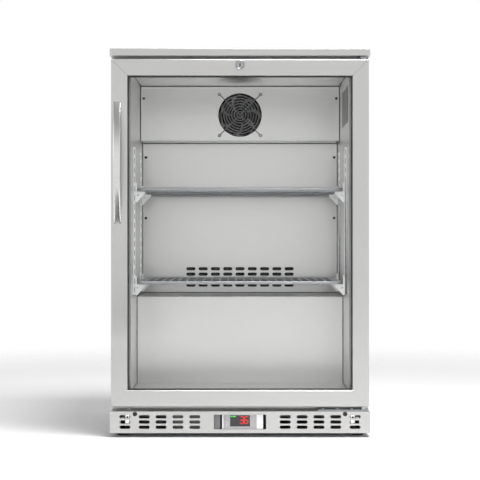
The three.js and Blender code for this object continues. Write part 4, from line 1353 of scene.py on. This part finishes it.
def make_floor():
    """A pale floor that fades out with the distance from the middle."""
    floor = bpy.data.meshes.new("floor")
    grid = np.linspace(-12.0, 12.0, 5)
    across, along = np.meshgrid(grid, grid, indexing="ij")
    points = np.stack([across, along, np.full_like(across, -0.2 * MM)], -1)
    count = len(grid)
    row, column = np.meshgrid(np.arange(count - 1), np.arange(count - 1), indexing="ij")
    first = row * count + column
    quads = np.stack([first, first + count, first + count + 1, first + 1], -1).reshape(-1, 4)
    floor.from_pydata(points.reshape(-1, 3).tolist(), [], quads.tolist())
    pale = bpy.data.materials.new("pale_floor")
    pale.use_nodes = True
    s = Shader(pale.node_tree)
    tone = s.blend(s.noise(even(3.0), 3.0), even(0.92), even(0.95))
    solid = s.principled(Base_Color=tone, Roughness=0.7)
    clear = s.node("ShaderNodeBsdfTransparent")["BSDF"]
    radius = s.node("ShaderNodeVectorMath", {"operation": "LENGTH"}, {0: s.place(even(1.0))})["Value"]
    fading = {0: radius.above(2.0, 1.6), 1: solid, 2: clear}
    s.surface(s.node("ShaderNodeMixShader", None, fading)["Shader"])
    floor.materials.append(pale)
    staged("floor", floor)


def make_flag():
    """A dark card in front of the handle, which only its reflections show."""
    left, right, front, back, level = -0.36, -0.20, -1.05, -0.46, 0.22
    flag = bpy.data.meshes.new("dark_flag")
    points = [(left, front, level), (right, front, level), (right, back, level), (left, back, level)]
    flag.from_pydata(points, [], [(0, 1, 2, 3)])
    flag.materials.append(material("black_rubber"))
    card = staged("dark_flag", flag)
    card.visible_camera = False
    card.visible_shadow = False


def make_stage():
    """A pale floor, soft lights, a dark flag, the white surround and the camera."""
    scene = bpy.context.scene
    scene.view_settings.view_transform = "Standard"
    scene.cycles.transparent_max_bounces = 32
    scene.cycles.glossy_bounces = 8
    make_floor()
    middle = (0.0, 0.0, 0.45)
    soft_light("key_light", (-2.6, -3.2, 2.2), middle, 2.2, 8.0)
    soft_light("fill_light", (2.8, -2.6, 1.4), middle, 2.0, 4.0)
    soft_light("back_light", (0.5, 3.2, 2.6), middle, 2.5, 12.0)
    soft_light("floor_light", (0.5, -0.8, 2.6), (0.1, -0.8, 0.0), 1.1, 80.0)
    make_flag()
    lens = bpy.data.cameras.new("front_camera")
    lens.lens = studio().lens
    camera = bpy.data.objects.new("front_camera", lens)
    camera.location = (0.0, -studio().distance, studio().height)
    camera.rotation_euler = (math.pi / 2, 0.0, 0.0)
    scene.collection.objects.link(camera)
    scene.camera = camera
    make_world()


# ---- operators --------------------------------------------------------------------------------


class BuildStage(bpy.types.Operator):
    """Camera, floor, lights and white surround"""

    bl_idname = "fridge.stage"
    bl_label = "Stage"

    def execute(self, context):
        make_stage()
        return {"FINISHED"}


class BuildCase(bpy.types.Operator):
    """Worktop, side panels, back and base"""

    bl_idname = "fridge.case"
    bl_label = "Case"

    def execute(self, context):
        make_worktop()
        make_side_panels()
        make_rear()
        make_base()
        return {"FINISHED"}


class BuildPlinth(bpy.types.Operator):
    """Slotted plinth with its plugs, screws and brackets"""

    bl_idname = "fridge.plinth"
    bl_label = "Plinth"

    def execute(self, context):
        make_plinth()
        make_plinth_trim()
        return {"FINISHED"}


class BuildFeet(bpy.types.Operator):
    """Four adjustable feet"""

    bl_idname = "fridge.feet"
    bl_label = "Feet"

    def execute(self, context):
        make_feet()
        return {"FINISHED"}


class BuildRoom(bpy.types.Operator):
    """Liner, step over the machine room, air panel and rating plate"""

    bl_idname = "fridge.room"
    bl_label = "Storage room"

    def execute(self, context):
        make_liner()
        make_machine_cover()
        make_air_panel()
        make_rating_plate()
        return {"FINISHED"}


class BuildEvaporator(bpy.types.Operator):
    """Evaporator cover, fan and wire guard"""

    bl_idname = "fridge.evaporator"
    bl_label = "Evaporator"

    def execute(self, context):
        make_evaporator_cover()
        make_evaporator_fan()
        make_fan_guard()
        return {"FINISHED"}


class BuildShelving(bpy.types.Operator):
    """Slotted pilasters, clips and wire shelves"""

    bl_idname = "fridge.shelving"
    bl_label = "Shelving"

    def execute(self, context):
        make_pilasters()
        make_shelf_clips()
        make_shelves()
        return {"FINISHED"}


class BuildDoor(bpy.types.Operator):
    """Door frame, glass, gasket and hinge brackets"""

    bl_idname = "fridge.door"
    bl_label = "Door"

    def execute(self, context):
        make_door_frame()
        make_glazing()
        make_gasket()
        make_hinges()
        return {"FINISHED"}


class BuildHandle(bpy.types.Operator):
    """Bow handle and lock"""

    bl_idname = "fridge.handle"
    bl_label = "Handle and lock"

    def execute(self, context):
        make_handle()
        make_lock()
        return {"FINISHED"}


class BuildController(bpy.types.Operator):
    """Temperature controller with its display and keys"""

    bl_idname = "fridge.controller"
    bl_label = "Controller"

    def execute(self, context):
        make_controller()
        return {"FINISHED"}


class BuildMachine(bpy.types.Operator):
    """Compressor, condenser with its fan and power inlet"""

    bl_idname = "fridge.machine"
    bl_label = "Machine room"

    def execute(self, context):
        make_compressor()
        make_condenser()
        make_power_inlet()
        return {"FINISHED"}


STEPS = (
    BuildStage, BuildCase, BuildPlinth, BuildFeet, BuildRoom, BuildEvaporator, BuildShelving, BuildDoor,
    BuildHandle, BuildController, BuildMachine)


class FridgePanel(bpy.types.Panel):
    """Settings and steps of the refrigerator"""

    bl_idname = "VIEW3D_PT_fridge"
    bl_label = "Refrigerator"
    bl_space_type = "VIEW_3D"
    bl_region_type = "UI"
    bl_category = "Refrigerator"

    def draw(self, context):
        for settings in (sizes(), colours(), studio()):
            box = self.layout.box()
            for name in settings.__annotations__:
                box.prop(settings, name)
        for step in STEPS:
            self.layout.operator(step.bl_idname)


SETTINGS = {"fridge_sizes": FridgeSizes, "fridge_colours": FridgeColours, "fridge_studio": StudioSettings}


def register():
    for kind in (*SETTINGS.values(), *STEPS, FridgePanel):
        bpy.utils.register_class(kind)
    for name, kind in SETTINGS.items():
        setattr(bpy.types.Scene, name, bpy.props.PointerProperty(type=kind))


def unregister():
    for name in SETTINGS:
        delattr(bpy.types.Scene, name)
    for kind in (FridgePanel, *reversed(STEPS), *SETTINGS.values()):
        bpy.utils.unregister_class(kind)


def main():
    register()
    for step in STEPS:
        getattr(bpy.ops.fridge, step.bl_idname.split(".")[1])()


if __name__ == "__main__":
    main()
